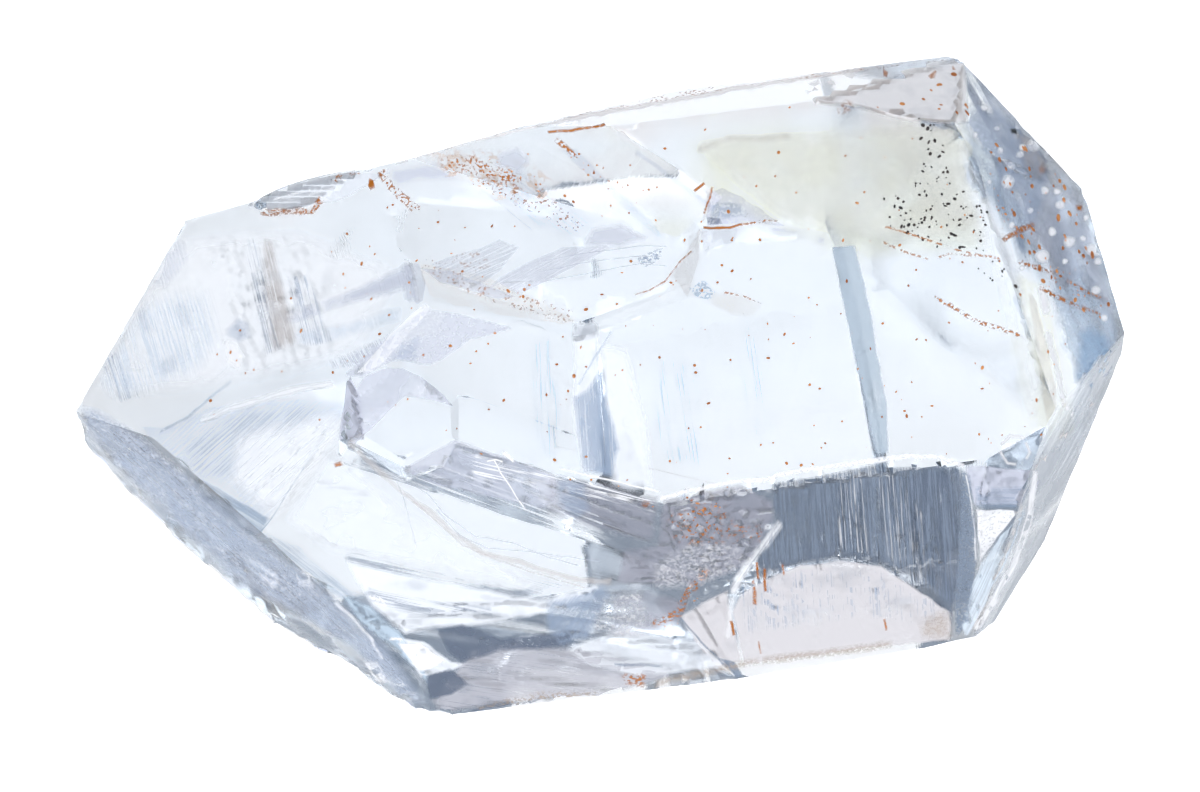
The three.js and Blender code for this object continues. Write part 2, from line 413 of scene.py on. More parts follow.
MASKS: dict[Mask, tuple[tuple[Patch, float], ...]] = {
    Mask.FROST: (
        (PITTED_CORNER, 0.35),
        (Patch((*SIGHT.seen((955, 478), (980, 480), (984, 600)), (14.6, -13.4),
                *SIGHT.seen((950, 640), (962, 560))), 0.4), 0.8),
    ),
    Mask.YELLOW: (
        (Patch(SIGHT.seen((700, 140), (850, 125), (880, 250), (720, 190)), 0.6), 0.8),
        (Patch(SIGHT.seen((875, 125), (960, 120), (985, 240), (890, 245)), 0.6), 0.8),
        (Patch(SIGHT.seen((1020, 280), (1040, 290), (1070, 430), (1052, 440)), 0.4), 1.0),
    ),
    Mask.PINK: (
        (Patch((*SIGHT.seen((850, 90)), (18.2, 11.8), *SIGHT.seen((955, 125), (880, 120))), 0.5), 0.9),
        (Patch((*SIGHT.seen((560, 122)), (5.0, 13.2), (14.4, 12.9),
                *SIGHT.seen((860, 98), (700, 115), (600, 135))), 0.5), 0.8),
        (Patch((*SIGHT.seen((1110, 360)), (18.6, -10.3), (15.8, -13.0), (19.5, -12.0), (24.0, -3.0)),
               0.8), 0.5),
    ),
    Mask.RUST: (
        (Patch(CORNER_RUST, 0.6), 0.5),
        (Patch(HOLLOW_RUST, 0.5), 0.6),
    ),
}


# ---------------------------------------------------------------- the crystal's skin

@dataclass
class Facet:
    """One flat stretch of the solid: its plane, its rim and the finish it gets."""

    normal: np.ndarray
    rim: list[Edge]
    area: float
    style: FacetStyle
    fall: np.ndarray
    side: np.ndarray

    def flat(self, places: np.ndarray) -> np.ndarray:
        """Give places in the facet's own two directions, so that a left turn faces outwards."""
        return np.column_stack((places @ self.fall, places @ self.side))

    def lift(self, flat: np.ndarray, level: float) -> np.ndarray:
        """Put places given in the facet's own directions back on its plane."""
        return flat[:, :1] * self.fall + flat[:, 1:] * self.side + level * self.normal


@dataclass
class CrystalSkin:
    """The whole crystal as one fine closed mesh that keeps the solid's planes.

    Attributes:
        same_plane: degrees between neighbours that count as one facet.
        large: the area from which a facet counts as a crystal face.
        tiny: the area up to which a facet gets no points inside its rim.
        match: degrees within which a facet takes a style.
        fade: how far from its rim a facet's relief reaches full depth.
        guard: how far inside the rim a first row of points lies.
        chip: how deep the edges are chipped.
        chip_size: how long a chip is.
        blunt: degrees from which an edge between crystal faces is chipped.
        worn: the least share of its depth to which such an edge is chipped.
        torn: how many times deeper the torn edge is chipped, less one.
        lumps: how wide the lumps of the broken end are, and how deep.
        grit: how wide its fine grit is, and how deep.
        sharp_large: degrees from which the edge of two crystal faces stays sharp.
        sharp_small: degrees from which the edge of a small facet does.
    """

    same_plane: float = 0.7
    large: float = 1.2
    tiny: float = 0.05
    match: float = 4.0
    fade: float = 0.35
    guard: float = 0.16
    chip: float = 0.09
    chip_size: float = 0.7
    blunt: float = 12.0
    worn: float = 0.12
    torn: float = 2.2
    lumps: tuple[float, float] = (1.6, 0.22)
    grit: tuple[float, float] = (0.7, 0.10)
    sharp_large: float = 1.0
    sharp_small: float = 24.0

    def solid(self, node: bpy.types.Object) -> bmesh.types.BMesh:
        """Copy the node's mesh with its loose triangles joined, as widely as still leaves it closed."""
        for reach in (1e-6, 1e-7, 1e-8):
            shape = bmesh.new()
            shape.from_mesh(node.data)
            bmesh.ops.remove_doubles(shape, verts=shape.verts, dist=reach)
            if all(edge.is_manifold for edge in shape.edges):
                break
        shape.verts.index_update()
        shape.faces.index_update()
        shape.faces.ensure_lookup_table()
        return shape

    def groups(self, shape: bmesh.types.BMesh) -> list[list[int]]:
        """Gather the triangles that lie in one plane with their neighbours."""
        least = math.cos(math.radians(self.same_plane))
        seen = [False] * len(shape.faces)
        found = []
        for first in sorted(shape.faces, key=lambda face: -face.calc_area()):
            if seen[first.index]:
                continue
            seen[first.index] = True
            group, queue = [], [first]
            while queue:
                face = queue.pop()
                group.append(face.index)
                for edge in face.edges:
                    for other in edge.link_faces:
                        if not seen[other.index] and other.normal.dot(first.normal) > least:
                            seen[other.index] = True
                            queue.append(other)
            found.append(group)
        return found

    def style(self, normal: np.ndarray, area: float) -> FacetStyle:
        """Find the finish of a facet by the way it looks."""
        if area < self.large:
            return SMALL
        best = max(STYLES.values(), key=lambda style: float(style.normal() @ normal))
        near = float(best.normal() @ normal) > math.cos(math.radians(self.match))
        return best if near else OTHER

    def facets(self, shape: bmesh.types.BMesh) -> list[Facet]:
        """List the solid's facets."""
        owner = np.zeros(len(shape.faces), dtype=np.int64)
        found = self.groups(shape)
        for index, group in enumerate(found):
            owner[group] = index
        facets = []
        for index, group in enumerate(found):
            faces = [shape.faces[i] for i in group]
            total = sum((face.normal * face.calc_area() for face in faces), Vector())
            normal = np.array((total if total.length > 0 else UP)) / max(total.length, 1e-20)
            side = np.cross(UP, normal)
            side = side / np.linalg.norm(side) if np.linalg.norm(side) > 1e-3 else np.array((0.0, 1.0, 0.0))
            side = np.cross(normal, np.cross(side, normal))
            side /= np.linalg.norm(side)
            rim = []
            for face in faces:
                for loop in face.loops:
                    other = loop.link_loop_radial_next.face
                    if owner[other.index] != index:
                        rim.append((loop.vert.index, loop.link_loop_next.vert.index))
            area = sum(face.calc_area() for face in faces) / MM**2
            facets.append(Facet(normal, rim, area, self.style(normal, area), np.cross(side, normal), side))
        return facets

    @staticmethod
    def sides(facets: list[Facet]) -> dict[Edge, list[Facet]]:
        """List the facets on both sides of each edge, which is named by its ends, the lower one first."""
        found: dict[Edge, list[Facet]] = {}
        for facet in facets:
            for start, end in facet.rim:
                found.setdefault((min(start, end), max(start, end)), []).append(facet)
        return found

    def turns(self, pair: list[Facet], least: float) -> bool:
        """Say whether the surface turns by `least` degrees or more at the edge of these two facets."""
        return pair[0].normal @ pair[1].normal < math.cos(math.radians(least))

    def between_faces(self, pair: list[Facet]) -> bool:
        """Say whether an edge lies between two crystal faces."""
        return len(pair) == 2 and min(facet.area for facet in pair) > self.large

    def split_rims(self, sides: dict[Edge, list[Facet]],
                   corners: np.ndarray) -> tuple[np.ndarray, dict, np.ndarray]:
        """Cut every edge between two facets into short steps that both sides share.

        Args:
            sides: the facets on both sides of each edge.
            corners: the solid's points.

        Returns:
            All points so far, the points along each edge, and how much each point may chip.
        """
        places = [tuple(corner) for corner in corners]
        chips = [0.0] * len(corners)
        steps: dict[Edge, list[int]] = {}
        for (start, end), pair in sides.items():
            run = corners[end] - corners[start]
            count = max(1, round(float(np.linalg.norm(run)) / min(facet.style.spacing for facet in pair)))
            chip = float(self.between_faces(pair) and self.turns(pair, self.blunt))
            middle = range(len(places), len(places) + count - 1)
            places += [tuple(corners[start] + run * (i / count)) for i in range(1, count)]
            chips += [chip] * (count - 1)
            steps[(start, end)] = [start, *middle, end]
        return np.array(places), steps, np.array(chips)

    def grid(self, facet: Facet, starts: np.ndarray, ends: np.ndarray, steps: np.ndarray) -> np.ndarray:
        """Spread points inside a facet: a row along its rim, and a triangular grid.

        Args:
            facet: the facet.
            starts: the starts of its rim edges in its own directions.
            ends: their ends.
            steps: middles of the short rim steps, moved inwards.

        Returns:
            The points in the facet's own directions.
        """
        gap = facet.style.spacing
        cloud = honeycomb(starts.min(axis=0), starts.max(axis=0), gap)
        cloud = cloud[inside(cloud, starts, ends)]
        least = max(0.6 * gap, self.guard + 0.4 * gap if len(steps) else 0.0)
        cloud = cloud[distances(cloud, starts, ends) > least]
        if len(steps):
            steps = steps[inside(steps, starts, ends)]
            steps = steps[distances(steps, starts, ends) > 0.8 * self.guard]
        return np.vstack((cloud, steps)) if len(steps) else cloud

    def fill(self, facet: Facet, places: np.ndarray, steps: dict) -> tuple[np.ndarray, np.ndarray, list]:
        """Cover one facet with small triangles.

        Args:
            facet: the facet.
            places: all points so far.
            steps: the points along each edge.

        Returns:
            The new inner points on the plane, their relief, and the triangles.
        """
        ids: list[int] = []
        edges = []
        for start, end in facet.rim:
            chain = steps[(min(start, end), max(start, end))]
            chain = chain if chain[0] == start else chain[::-1]
            edges += list(zip(chain[:-1], chain[1:]))
            ids += chain[:-1]
        ids = list(dict.fromkeys(ids))
        local = {place: index for index, place in enumerate(ids)}
        rim = facet.flat(places[ids])
        level = float(np.mean(places[ids] @ facet.normal))
        starts = facet.flat(places[[start for start, _ in facet.rim]])
        ends = facet.flat(places[[end for _, end in facet.rim]])
        joined = [(local[start], local[end]) for start, end in edges]
        moved = np.zeros((0, 2))
        if facet.area > self.large:
            first, last = rim[[a for a, _ in joined]], rim[[b for _, b in joined]]
            run = last - first
            lengths = np.maximum(np.linalg.norm(run, axis=1), 1e-9)
            left = np.column_stack((-run[:, 1], run[:, 0])) / lengths[:, None]
            moved = (first + last) / 2 + left * self.guard
        inner = self.grid(facet, starts, ends, moved) if facet.area > self.tiny else moved[:0]
        cloud = np.vstack((rim, inner))
        result = delaunay_2d_cdt([tuple(p) for p in cloud.tolist()], joined, [], 0, 1e-9, True)
        found, origin = np.array([tuple(p) for p in result[0]]), result[3]
        back = {old: new for new, olds in enumerate(origin) for old in olds}
        kept = inner_triangles(result[2], {(back[start], back[end]) for start, end in joined})
        names = [ids[o[0]] if o and o[0] < len(ids) else None for o in origin]
        fresh = {}
        flat = []
        for index, name in enumerate(names):
            if name is None:
                fresh[index] = len(places) + len(flat)
                flat.append(found[index])
        flat = np.array(flat).reshape(-1, 2)
        on_plane = facet.lift(flat, level)
        depth = np.zeros(len(flat))
        if facet.style.reliefs and len(flat):
            fade = smooth_step(distances(flat, starts, ends), 0.0, self.fade)
            for relief in facet.style.reliefs:
                depth += fade * relief.height(on_plane, facet.fall, facet.side)
        named = [tuple(fresh[i] if names[i] is None else names[i] for i in t) for t in kept]
        return on_plane, depth, named

    def lay(self, places: np.ndarray, owner: np.ndarray, facets: list[Facet]) -> np.ndarray:
        """Give each triangle's corners their place along and across its facet's fine striae.

        Args:
            places: the three corners of each triangle.
            owner: the facet of each triangle.
            facets: the facets.

        Returns:
            Across and along in millimetres, for every corner.
        """
        turn = np.radians([facet.style.turn for facet in facets])[:, None]
        fall = np.array([facet.fall for facet in facets])
        side = np.array([facet.side for facet in facets])
        along = fall * np.cos(turn) + side * np.sin(turn)
        across = side * np.cos(turn) - fall * np.sin(turn)
        return np.stack((
            np.einsum("tcx,tx->tc", places, across[owner]), np.einsum("tcx,tx->tc", places, along[owner])
        ), axis=2)

    def build(self, node: bpy.types.Object) -> bpy.types.Object:
        """Make the finer skin of the solid.

        Args:
            node: the solid from the frame.

        Returns:
            The new piece.
        """
        shape = self.solid(node)
        corners = np.array([tuple(vert.co) for vert in shape.verts]) / MM
        facets = self.facets(shape)
        shape.free()
        sides = self.sides(facets)
        places, steps, chips = self.split_rims(sides, corners)
        rim_count = len(places)
        moves = [np.zeros((rim_count, 3))]
        triangles: list[tuple[int, int, int]] = []
        owner: list[int] = []
        for index, facet in enumerate(facets):
            fresh, depth, named = self.fill(facet, places, steps)
            places = np.vstack((places, fresh)) if len(fresh) else places
            moves.append(depth[:, None] * facet.normal)
            triangles += named
            owner += [index] * len(named)
        move = np.vstack(moves)
        tri = np.array(triangles)
        owned = np.array(owner)
        worn = self.wear(places, np.concatenate((chips, np.zeros(len(places) - rim_count))))
        move -= self.normals(places, tri) * worn[:, None]
        uv = self.lay(places[tri], owned, facets)
        piece = self.mesh(places + move, tri, uv)
        self.mark_sharp(piece.data, sides, steps)
        self.keep_masks(piece.data, places, owned, facets)
        ends = np.sort(tri[:, [0, 1, 1, 2, 2, 0]].reshape(-1, 2), axis=1)
        open_edges = int((np.unique(ends, axis=0, return_counts=True)[1] != 2).sum())
        log.info("crystal skin: %d facets, %d points, %d triangles, %d open edges",
                 len(facets), len(places), len(tri), open_edges)
        return piece

    @staticmethod
    def normals(places: np.ndarray, tri: np.ndarray) -> np.ndarray:
        """Give each point the mean way its triangles look."""
        faces = np.cross(places[tri[:, 1]] - places[tri[:, 0]], places[tri[:, 2]] - places[tri[:, 0]])
        total = np.zeros_like(places)
        for corner in range(3):
            np.add.at(total, tri[:, corner], faces)
        return total / np.maximum(np.linalg.norm(total, axis=1), 1e-12)[:, None]

    def wear(self, places: np.ndarray, chips: np.ndarray) -> np.ndarray:
        """Say how deep each point is worn away: chips along the edges, and the rough broken end."""
        notch = np.maximum(value_noise(places / self.chip_size, 51) - 0.05, 0.0)
        fine = 0.5 + 0.5 * value_noise(places / (self.chip_size * 0.3), 52)
        torn = 1.0 + self.torn * TORN_EDGE.weight(places)
        depth = self.chip * chips * torn * (self.worn + notch * (0.5 + fine))
        rough = (0.5 + 0.5 * value_noise(places / self.lumps[0], 53)) * self.lumps[1]
        rough += np.abs(value_noise(places / self.grit[0], 54)) * self.grit[1]
        return depth + rough * BROKEN_END.weight(places)

    @staticmethod
    def mesh(places: np.ndarray, tri: np.ndarray, uv: np.ndarray) -> bpy.types.Object:
        """Put the points and triangles in a new piece.

        Args:
            places: the points in millimetres.
            tri: three points for each triangle.
            uv: where each corner lies along the fine striae, in millimetres.

        Returns:
            The piece.
        """
        mesh = bpy.data.meshes.new("crystal_skin")
        mesh.from_pydata((places * MM).tolist(), [], tri.tolist())
        mesh.shade_smooth()
        mesh.uv_layers.new(name="striae").uv.foreach_set("vector", uv.astype(np.float32).ravel())
        return placed("crystal_skin", mesh)

    def mark_sharp(self, mesh: bpy.types.Mesh, sides: dict[Edge, list[Facet]], steps: dict) -> None:
        """Keep the edges between crystal faces sharp, and let broken hollows run smoothly into each other."""
        sharp = set()
        for key, pair in sides.items():
            limit = self.sharp_large if self.between_faces(pair) else self.sharp_small
            if len(pair) != 2 or self.turns(pair, limit):
                chain = steps[key]
                sharp |= {(min(a, b), max(a, b)) for a, b in zip(chain[:-1], chain[1:])}
        ends = np.empty(len(mesh.edges) * 2, dtype=np.int64)
        mesh.edges.foreach_get("vertices", ends)
        flags = [(min(a, b), max(a, b)) in sharp for a, b in ends.reshape(-1, 2).tolist()]
        mesh.edges.foreach_set("use_edge_sharp", flags)

    @staticmethod
    def keep_masks(mesh: bpy.types.Mesh, places: np.ndarray, owned: np.ndarray, facets: list[Facet]) -> None:
        """Store where the crystal is frosted, stained and striated."""
        for mask, patches in MASKS.items():
            weight = np.zeros(len(places))
            for patch, strength in patches:
                weight = np.maximum(weight, patch.weight(places) * strength)
            keep(mesh, mask.value, "POINT", weight)
        for name, values in (
            ("striated", [facet.style.striae for facet in facets]),
            ("matt", [facet.style.frost for facet in facets]),
        ):
            keep(mesh, name, "FACE", np.array(values)[owned])


TORN_EDGE = Patch(((1.5, -4.2), (15.5, -4.6), (16.2, -6.6), (15.6, -6.8), (14.8, -5.8), (7.0, -5.8),
                   (1.7, -5.4)), 0.3)
BROKEN_END = Patch(((-24.6, 4.0), (-20.6, 0.6), (-17.5, -3.6), (-13.2, -6.4), (-10.6, -11.0), (-10.6, -14.0),
                    (-14.0, -14.0), (-25.0, -3.0)), 0.5)


# ---------------------------------------------------------------- finishes

@dataclass
class Nodes:
    """A small writer of node trees."""

    tree: bpy.types.NodeTree

    def add(self, kind: str, sets: dict | None = None, **links: object) -> bpy.types.Node:
        """Add a node.

        Args:
            kind: the node's type.
            sets: properties of the node, set first.
            **links: inputs by name with _ for spaces: a value, or the output that feeds it.

        Returns:
            The node.
        """
        node = self.tree.nodes.new(kind)
        for name, value in (sets or {}).items():
            setattr(node, name, value)
        for name, value in links.items():
            self.feed(node, name.replace("_", " "), value)
        return node

    def feed(self, node: bpy.types.Node, name: str | int, value: object) -> None:
        """Set or link one input of a node."""
        socket = node.inputs[name]
        if isinstance(value, bpy.types.NodeSocket):
            self.tree.links.new(value, socket)
        else:
            socket.default_value = value

    def maths(self, operation: str, *values: object) -> bpy.types.NodeSocket:
        """Work out a number from numbers or outputs."""
        node = self.tree.nodes.new("ShaderNodeMath")
        node.operation = operation
        for index, value in enumerate(values):
            self.feed(node, index, value)
        return node.outputs[0]

    def span(self, value: object, low: float, high: float, start: float = 0.0,
             end: float = 1.0) -> bpy.types.NodeSocket:
        """Map a number from one span to another and keep it there."""
        node = self.tree.nodes.new("ShaderNodeMapRange")
        node.interpolation_type = "SMOOTHSTEP"
        for index, number in enumerate((value, low, high, start, end)):
            self.feed(node, index, number)
        return node.outputs[0]

    def mix(self, share: object, first: object, second: object) -> bpy.types.NodeSocket:
        """Mix two colours."""
        node = self.tree.nodes.new("ShaderNodeMix")
        node.data_type = "RGBA"
        for index, value in ((0, share), (6, first), (7, second)):
            self.feed(node, index, value)
        return node.outputs[2]

    def attribute(self, name: str) -> bpy.types.NodeSocket:
        """Read a number kept on the mesh."""
        return self.add("ShaderNodeAttribute", {"attribute_name": name}).outputs["Fac"]

    def place(self) -> bpy.types.NodeSocket:
        """Read the place on the piece, in metres."""
        return self.add("ShaderNodeTexCoord").outputs["Object"]

    def noise(self, scale: float, detail: float, rough: float = 0.5) -> bpy.types.NodeSocket:
        """Read noise that changes about `scale` times in a metre."""
        return self.add("ShaderNodeTexNoise", Vector=self.place(), Scale=scale, Detail=detail,
                        Roughness=rough).outputs["Fac"]

    def lines(self, layer: str, across: float, along: float, detail: float,
              rough: float) -> bpy.types.NodeSocket:
        """Read fine lines laid out by a UV layer, with this many changes in a millimetre across and along."""
        laid = self.add("ShaderNodeMapping", Vector=self.add("ShaderNodeUVMap", {"uv_map": layer}).outputs[0],
                        Scale=(across, along, 1.0))
        return self.add("ShaderNodeTexNoise", {"noise_dimensions": "2D"}, Vector=laid.outputs[0], Scale=1.0,
                        Detail=detail, Roughness=rough).outputs["Fac"]


def blank_material(name: str) -> tuple[bpy.types.Material, Nodes, bpy.types.Node, bpy.types.Node]:
    """Make an empty material.

    Args:
        name: what the finish is called.

    Returns:
        The material, the writer of its tree, its output and its Principled shader, joined.
    """
    material = bpy.data.materials.new(name)
    material.use_nodes = True
    material.node_tree.nodes.clear()
    nodes = Nodes(material.node_tree)
    shader = nodes.add("ShaderNodeBsdfPrincipled")
    output = nodes.add("ShaderNodeOutputMaterial", Surface=shader.outputs[0])
    return material, nodes, output, shader


@dataclass(frozen=True)
class ClearCrystal:
    """Clear celestite: glassy faces with fine striae, frosted places and faint stains."""

    ior: float = 1.62
    absorption: Colour = (0.64, 0.82, 1.0, 1.0)
    density: float = 14.0
    yellow: Colour = (0.93, 0.90, 0.74, 1.0)
    pink: Colour = (0.93, 0.84, 0.79, 1.0)
    rust: Colour = (0.72, 0.36, 0.14, 1.0)
    striae_across: float = 12.0
    striae_along: float = 0.35
    relief: float = 0.000012

    def material(self) -> bpy.types.Material:
        """Make the material."""
        material, nodes, output, shader = blank_material("clear_crystal")
        cloud, specks = nodes.noise(500.0, 2.0), nodes.noise(2600.0, 1.5)
        lines = nodes.lines("striae", self.striae_across, self.striae_along, 3.0, 0.65)
        frost = nodes.maths("MAXIMUM", nodes.attribute("frost"), nodes.attribute("matt"))
        frosted = nodes.maths("MULTIPLY", frost, nodes.span(cloud, 0.3, 0.7, 0.6, 1.2))
        nodes.feed(shader, "Roughness", nodes.maths("MULTIPLY", frosted, 0.55))
        colour = PURE_WHITE
        for name, stain, full, least in (("yellow", self.yellow, 0.6, 0.5), ("pink", self.pink, 0.65, 0.4)):
            share = nodes.maths("MULTIPLY", nodes.attribute(name), nodes.span(cloud, 0.35, full, least, 1.0))
            colour = nodes.mix(share, colour, stain)
        spots = nodes.maths("MULTIPLY", nodes.attribute("rust"), nodes.span(specks, 0.52, 0.62))
        nodes.feed(shader, "Base Color", nodes.mix(spots, colour, self.rust))
        striae = nodes.maths("MULTIPLY", lines, nodes.attribute("striated"))
        pits = nodes.maths("MULTIPLY", specks, frost)
        height = nodes.maths("ADD", striae, nodes.maths("MULTIPLY", pits, 0.8))
        bump = nodes.add("ShaderNodeBump", Height=height, Distance=self.relief, Strength=1.0)
        nodes.feed(shader, "Normal", bump.outputs[0])
        for name, value in (("Transmission Weight", 1.0), ("IOR", self.ior), ("Metallic", 0.0)):
            nodes.feed(shader, name, value)
        volume = nodes.add("ShaderNodeVolumeAbsorption", Color=self.absorption, Density=self.density)
        nodes.feed(output, "Volume", volume.outputs[0])
        return material


@dataclass(frozen=True)
class Mineral:
    """Opaque mineral matter in small grains, whose colour varies from place to place."""

    name: str
    dark: Colour
    light: Colour
    rough: float = 0.75

    def material(self) -> bpy.types.Material:
        """Make the material."""
        material, nodes, _, shader = blank_material(self.name)
        cloud, grit = nodes.noise(1800.0, 3.0), nodes.noise(9000.0, 2.0)
        nodes.feed(shader, "Base Color", nodes.mix(nodes.span(cloud, 0.35, 0.65), self.dark, self.light))
        nodes.feed(shader, "Roughness", self.rough)
        bump = nodes.add("ShaderNodeBump", Height=grit, Distance=0.01 * MM, Strength=0.6)
        nodes.feed(shader, "Normal", bump.outputs[0])
        return material


# ---------------------------------------------------------------- thin films and veils

class Tone(Enum):
    """The colours of films and veils, some of which are painted light and shade."""

    LILAC = (0.79, 0.79, 0.86)
    GREY = (0.76, 0.76, 0.79)
    SLATE = (0.50, 0.58, 0.68)
    DARK = (0.38, 0.41, 0.48)
    SKY = (0.74, 0.83, 0.92)
    MIST = (0.86, 0.89, 0.94)
    TAN = (0.80, 0.77, 0.75)
    BEIGE = (0.92, 0.89, 0.86)
    YELLOW = (0.90, 0.90, 0.85)
    WHITE = (0.95, 0.95, 0.97)
    PEARL = (0.74, 0.74, 0.76)
    # painted reflection: this dark slate-blue, close to the room's dim colour low down, is painted where the
    # crystal reflects the dim room
    FROST = (0.22, 0.27, 0.35)
    MILK = (0.87, 0.90, 0.95)
    SKYMILK = (0.58, 0.70, 0.82)
    PINKMILK = (0.86, 0.84, 0.84)
    LILACMILK = (0.62, 0.64, 0.74)
    LILACGREY = (0.36, 0.36, 0.42)
    PALEGREY = (0.50, 0.50, 0.55)
    HAZE = (0.47, 0.53, 0.65)
    RIM = (0.85, 0.80, 0.78)
    NAVY = (0.13, 0.16, 0.22)
    UMBER = (0.43, 0.38, 0.35)
    SLATEBLUE = (0.30, 0.38, 0.51)
    PALEBLUE = (0.61, 0.70, 0.81)
    GREYBLUE = (0.58, 0.61, 0.70)
    TANLINE = (0.62, 0.58, 0.56)
    RUST = (0.43, 0.135, 0.012)
    SOIL = (0.42, 0.33, 0.26)
    BLACK = (0.02, 0.02, 0.02)
    AZURE = (0.22, 0.38, 0.58)
    SHELL = (0.68, 0.66, 0.68)
    OLIVE = (0.70, 0.70, 0.66)
    STEEL = (0.46, 0.54, 0.62)


LARGE_FILM = 3.0
COARSE_STEP = 0.1
FINE_STEP = 0.05


@dataclass(frozen=True)
class Film:
    """A thin film on the crystal, or a veil just inside it. Some films are painted light and shade: glints,
    highlights and dark reflections of the room.

    Attributes:
        tone: its colour.
        amount: how dense it is.
        outline: its corners as seen from above, in rows: millimetres right and up of the middle of the view.
        width: the width of a line through these points, or 0 for the patch they enclose.
        soft: how wide its rim fades.
        streaked: how much it is made of streaks.
        turn: which way the streaks run, in degrees from right to up.
        speckled: how much it is made of specks.
        cover: the share of it that streaks and specks cover.
    """

    tone: Tone
    amount: float
    outline: np.ndarray
    width: float = 0.0
    soft: float = 0.1
    streaked: float = 0.0
    turn: float = 90.0
    speckled: float = 0.0
    cover: float = 0.5

    def rim(self, step: float, ragged: float, seed: int) -> np.ndarray:
        """Give its outline in short, slightly uneven steps."""
        corners = self.outline if self.width == 0.0 else Trail(self.outline, self.width).outline()
        runs = np.roll(corners, -1, axis=0) - corners
        counts = np.maximum(1, np.ceil(np.linalg.norm(runs, axis=1) / step)).astype(int)
        places = np.vstack([a + run * np.arange(n)[:, None] / n for a, run, n in zip(corners, runs, counts)])
        shake = np.column_stack([value_noise(places / 0.45, seed * 2 + axis) for axis in (0, 1)])
        return places + shake * ragged


def rounded(places: np.ndarray, step: float) -> np.ndarray:
    """Round millimetres to whole steps."""
    return np.round(np.rint(places / step) * step, 2)


def drawn(tone: Tone, amount: float, *outlines: tuple[Point, ...], width: float = 0.0,
          **looks: float) -> tuple[Film, ...]:
    """Make one film for each outline.

    Args:
        tone: the films' colour.
        amount: how dense they are.
        *outlines: their corners, as points of the view.
        width: the width of lines, or 0 for patches.
        **looks: the other attributes of Film.
    """
    films = []
    for outline in outlines:
        places = view_places(outline)
        wide = width == 0.0 and np.ptp(places, axis=0).max() > LARGE_FILM
        films.append(Film(tone, amount, rounded(places, COARSE_STEP if wide else FINE_STEP), width, **looks))
    return tuple(films)


def spot(x: int, y: int, size: int, corners: int = 12) -> Film:
    """Make a round white painted glint with a fading rim, at a point of the view and of a radius in its
    units.
    """
    middle_x, middle_y = rounded(view_places(((x, y),)), FINE_STEP)[0]
    radius = round(size * VIEW_SCALE, 2)
    turns = [k * math.tau / corners for k in range(corners)]
    outline = [(middle_x + radius * math.cos(turn), middle_y + radius * math.sin(turn)) for turn in turns]
    return Film(Tone.WHITE, 0.75, np.array(outline), soft=0.6 * radius)


